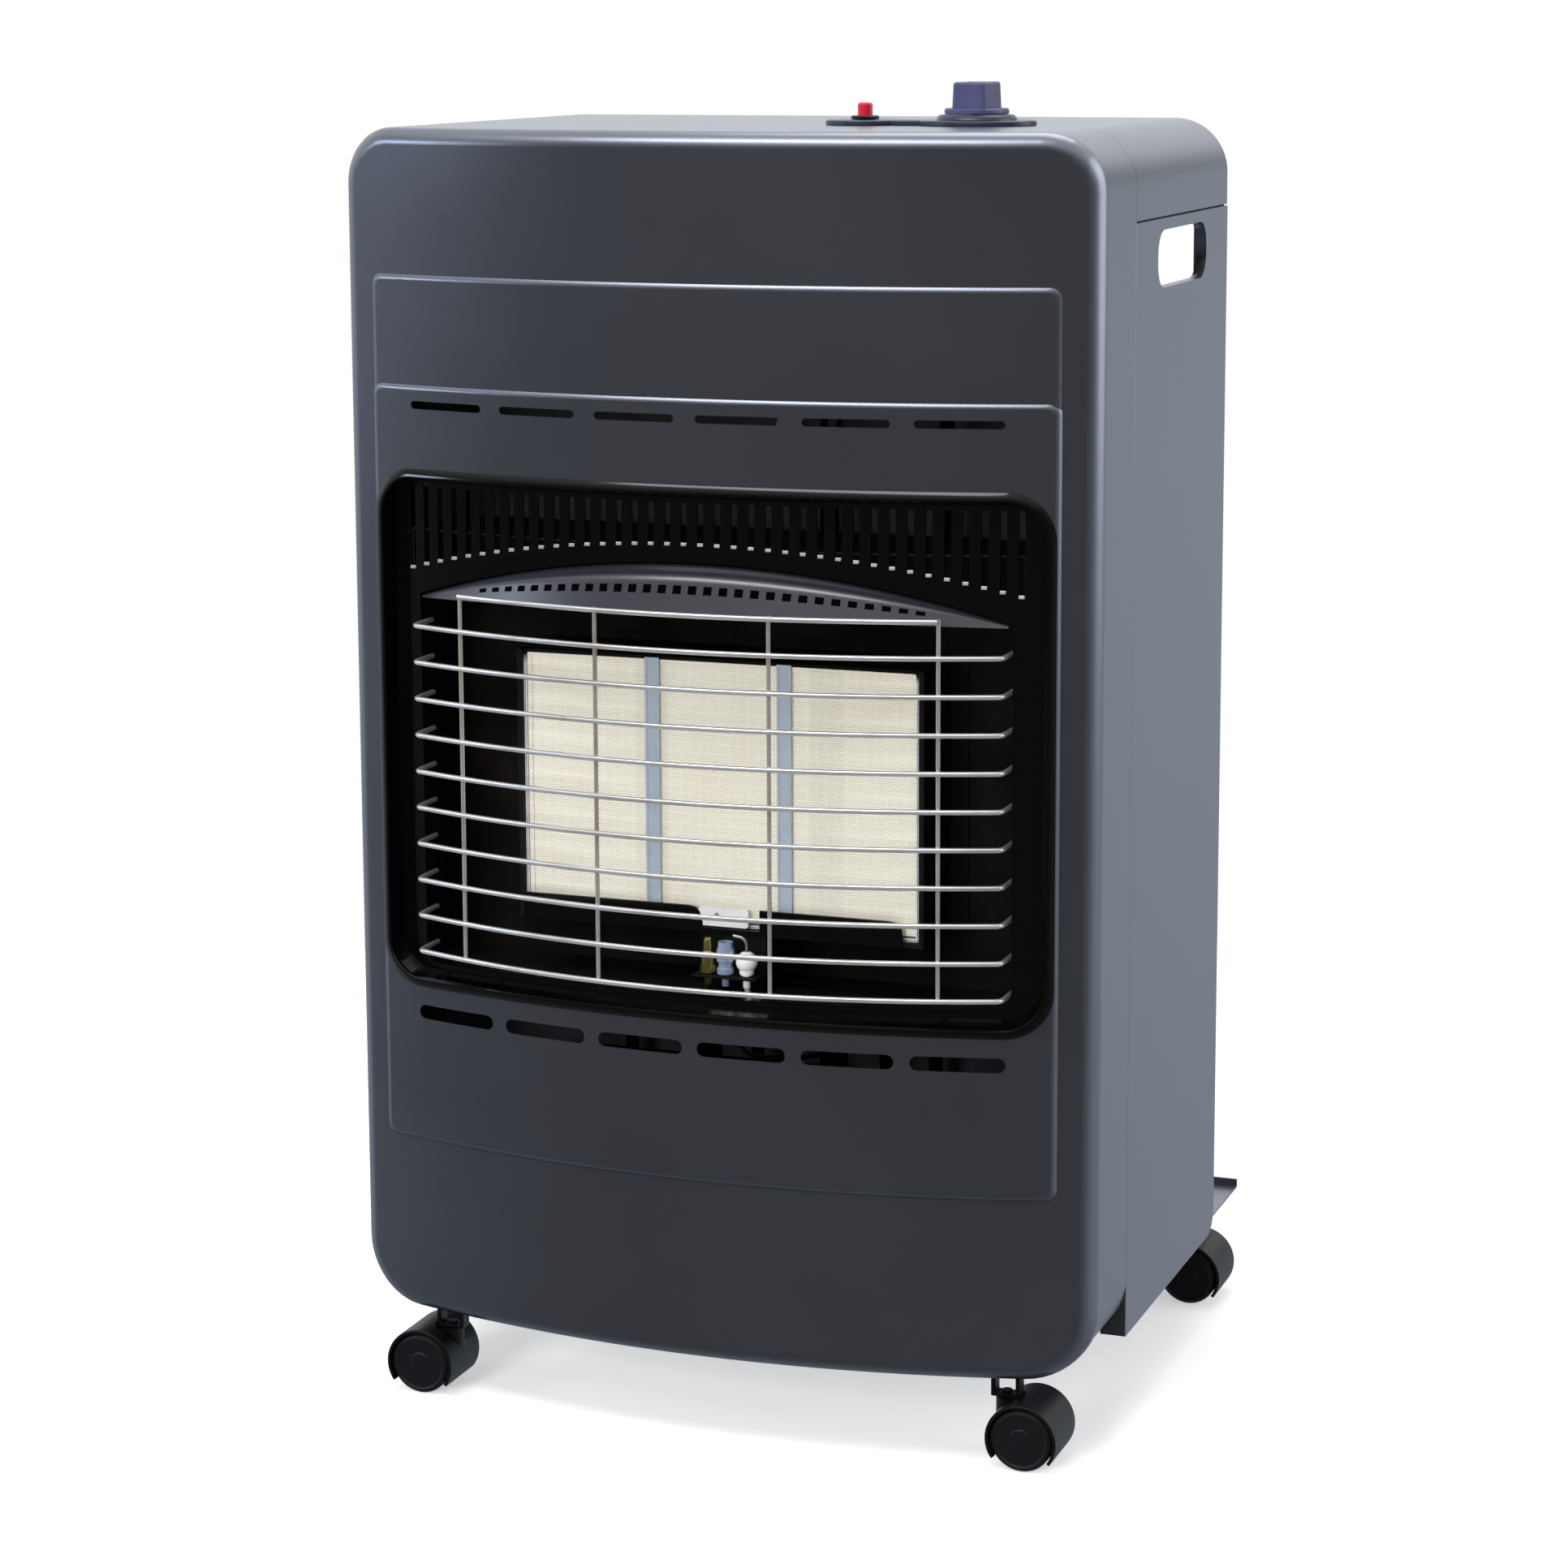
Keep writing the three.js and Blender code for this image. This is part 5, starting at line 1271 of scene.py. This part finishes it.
def make_camera():
    """The camera that took the photograph, fitted to it."""
    yaw, pitch, roll = (math.radians(angle) for angle in (20.307, 9.066, -0.235))
    forward = Vector((-math.sin(yaw), math.cos(yaw), 0))
    right = Vector((math.cos(yaw), math.sin(yaw), 0))
    up = Vector((0, 0, 1))
    ahead_way = forward * math.cos(pitch) - up * math.sin(pitch)
    above = up * math.cos(pitch) + forward * math.sin(pitch)
    across = right * math.cos(roll) + above * math.sin(roll)
    above = above * math.cos(roll) - right * math.sin(roll)
    lens = bpy.data.cameras.new("camera")
    lens.sensor_width = SENSOR
    lens.lens = FOCAL_LENGTH / PHOTO_WIDTH * SENSOR
    lens.shift_y = SHIFT / PHOTO_WIDTH
    lens.dof.use_dof = False
    camera = bpy.data.objects.new("camera", lens)
    bpy.context.scene.collection.objects.link(camera)
    place = Matrix((across, above, -ahead_way)).transposed().to_4x4()
    place.translation = Vector((0.7213, -1.8413, 0.7024)) + HOME
    camera.matrix_world = place
    bpy.context.scene.camera = camera


# ---------------------------------------------------------------- operators


def run(*steps):
    for step in steps:
        step()
    return {"FINISHED"}


class HEATER_OT_stage(bpy.types.Operator):
    """Floor, studio light and camera"""

    bl_idname = "heater.stage"
    bl_label = "Stage"
    bl_options = {"REGISTER", "UNDO"}

    def execute(self, context):
        return run(make_stage)


class HEATER_OT_front(bpy.types.Operator):
    """Bowed front panel with its steps and vent slots"""

    bl_idname = "heater.front"
    bl_label = "Front Panel"
    bl_options = {"REGISTER", "UNDO"}

    def execute(self, context):
        return run(make_front_panel)


class HEATER_OT_cap(bpy.types.Operator):
    """Top cap with rounded shoulders"""

    bl_idname = "heater.cap"
    bl_label = "Top Cap"
    bl_options = {"REGISTER", "UNDO"}

    def execute(self, context):
        return run(make_top_cap)


class HEATER_OT_sides(bpy.types.Operator):
    """Side panels with their handle holes"""

    bl_idname = "heater.sides"
    bl_label = "Side Panels"
    bl_options = {"REGISTER", "UNDO"}

    def execute(self, context):
        return run(make_side_panels)


class HEATER_OT_window(bpy.types.Operator):
    """Window surround with louvres, and the visor"""

    bl_idname = "heater.window"
    bl_label = "Window Surround"
    bl_options = {"REGISTER", "UNDO"}

    def execute(self, context):
        return run(make_window_surround, make_visor_hood)


class HEATER_OT_guard(bpy.types.Operator):
    """Wire fireguard"""

    bl_idname = "heater.guard"
    bl_label = "Fireguard"
    bl_options = {"REGISTER", "UNDO"}

    def execute(self, context):
        return run(make_fireguard)


class HEATER_OT_burners(bpy.types.Operator):
    """Burners, their box and the pilot group"""

    bl_idname = "heater.burners"
    bl_label = "Burners"
    bl_options = {"REGISTER", "UNDO"}

    def execute(self, context):
        return run(make_burners, make_burner_box, make_pilot_group)


class HEATER_OT_controls(bpy.types.Operator):
    """Control plate, knob and igniter button"""

    bl_idname = "heater.controls"
    bl_label = "Controls"
    bl_options = {"REGISTER", "UNDO"}

    def execute(self, context):
        return run(make_control_plate, make_knob, make_button)


class HEATER_OT_casters(bpy.types.Operator):
    """Twin-wheel casters"""

    bl_idname = "heater.casters"
    bl_label = "Casters"
    bl_options = {"REGISTER", "UNDO"}

    def execute(self, context):
        return run(make_casters)


def finish_frame():
    """Finishes on every CAD node that still shows."""
    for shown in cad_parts.values():
        if not shown.hide_render:
            slot = shown.data.materials[0].name.split(".")[0]
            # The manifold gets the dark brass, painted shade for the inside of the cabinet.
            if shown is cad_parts["gas_manifold"]:
                slot = "brass_painted_shade"
            shown.data.materials.clear()
            shown.data.materials.append(finish_for(slot))


class HEATER_OT_frame(bpy.types.Operator):
    """Finishes for the parts of the frame that stay"""

    bl_idname = "heater.frame"
    bl_label = "Frame Finishes"
    bl_options = {"REGISTER", "UNDO"}

    def execute(self, context):
        return run(finish_frame)


class HEATER_PT_sidebar(bpy.types.Panel):
    """Sizes, colours and pieces of the heater"""

    bl_idname = "HEATER_PT_sidebar"
    bl_label = "Gas Cabinet Heater"
    bl_space_type = "VIEW_3D"
    bl_region_type = "UI"
    bl_category = "Heater"

    def draw(self, context):
        for group in (context.scene.heater_sizes, context.scene.heater_colours):
            box = self.layout.box()
            for name in group.__annotations__:
                box.prop(group, name)
        for operator in OPERATORS:
            self.layout.operator(operator.bl_idname)


OPERATORS = (HEATER_OT_stage, HEATER_OT_front, HEATER_OT_cap, HEATER_OT_sides, HEATER_OT_window,
             HEATER_OT_guard, HEATER_OT_burners, HEATER_OT_controls, HEATER_OT_casters,
             HEATER_OT_frame)
CLASSES = (HeaterSizes, HeaterColours, *OPERATORS, HEATER_PT_sidebar)


def register():
    for item in CLASSES:
        bpy.utils.register_class(item)
    bpy.types.Scene.heater_sizes = bpy.props.PointerProperty(type=HeaterSizes)
    bpy.types.Scene.heater_colours = bpy.props.PointerProperty(type=HeaterColours)


def unregister():
    del bpy.types.Scene.heater_colours
    del bpy.types.Scene.heater_sizes
    for item in reversed(CLASSES):
        bpy.utils.unregister_class(item)


def main():
    register()
    for operator in OPERATORS:
        group, name = operator.bl_idname.split(".")
        getattr(getattr(bpy.ops, group), name)()
    deselect()


if __name__ == "__main__":
    main()
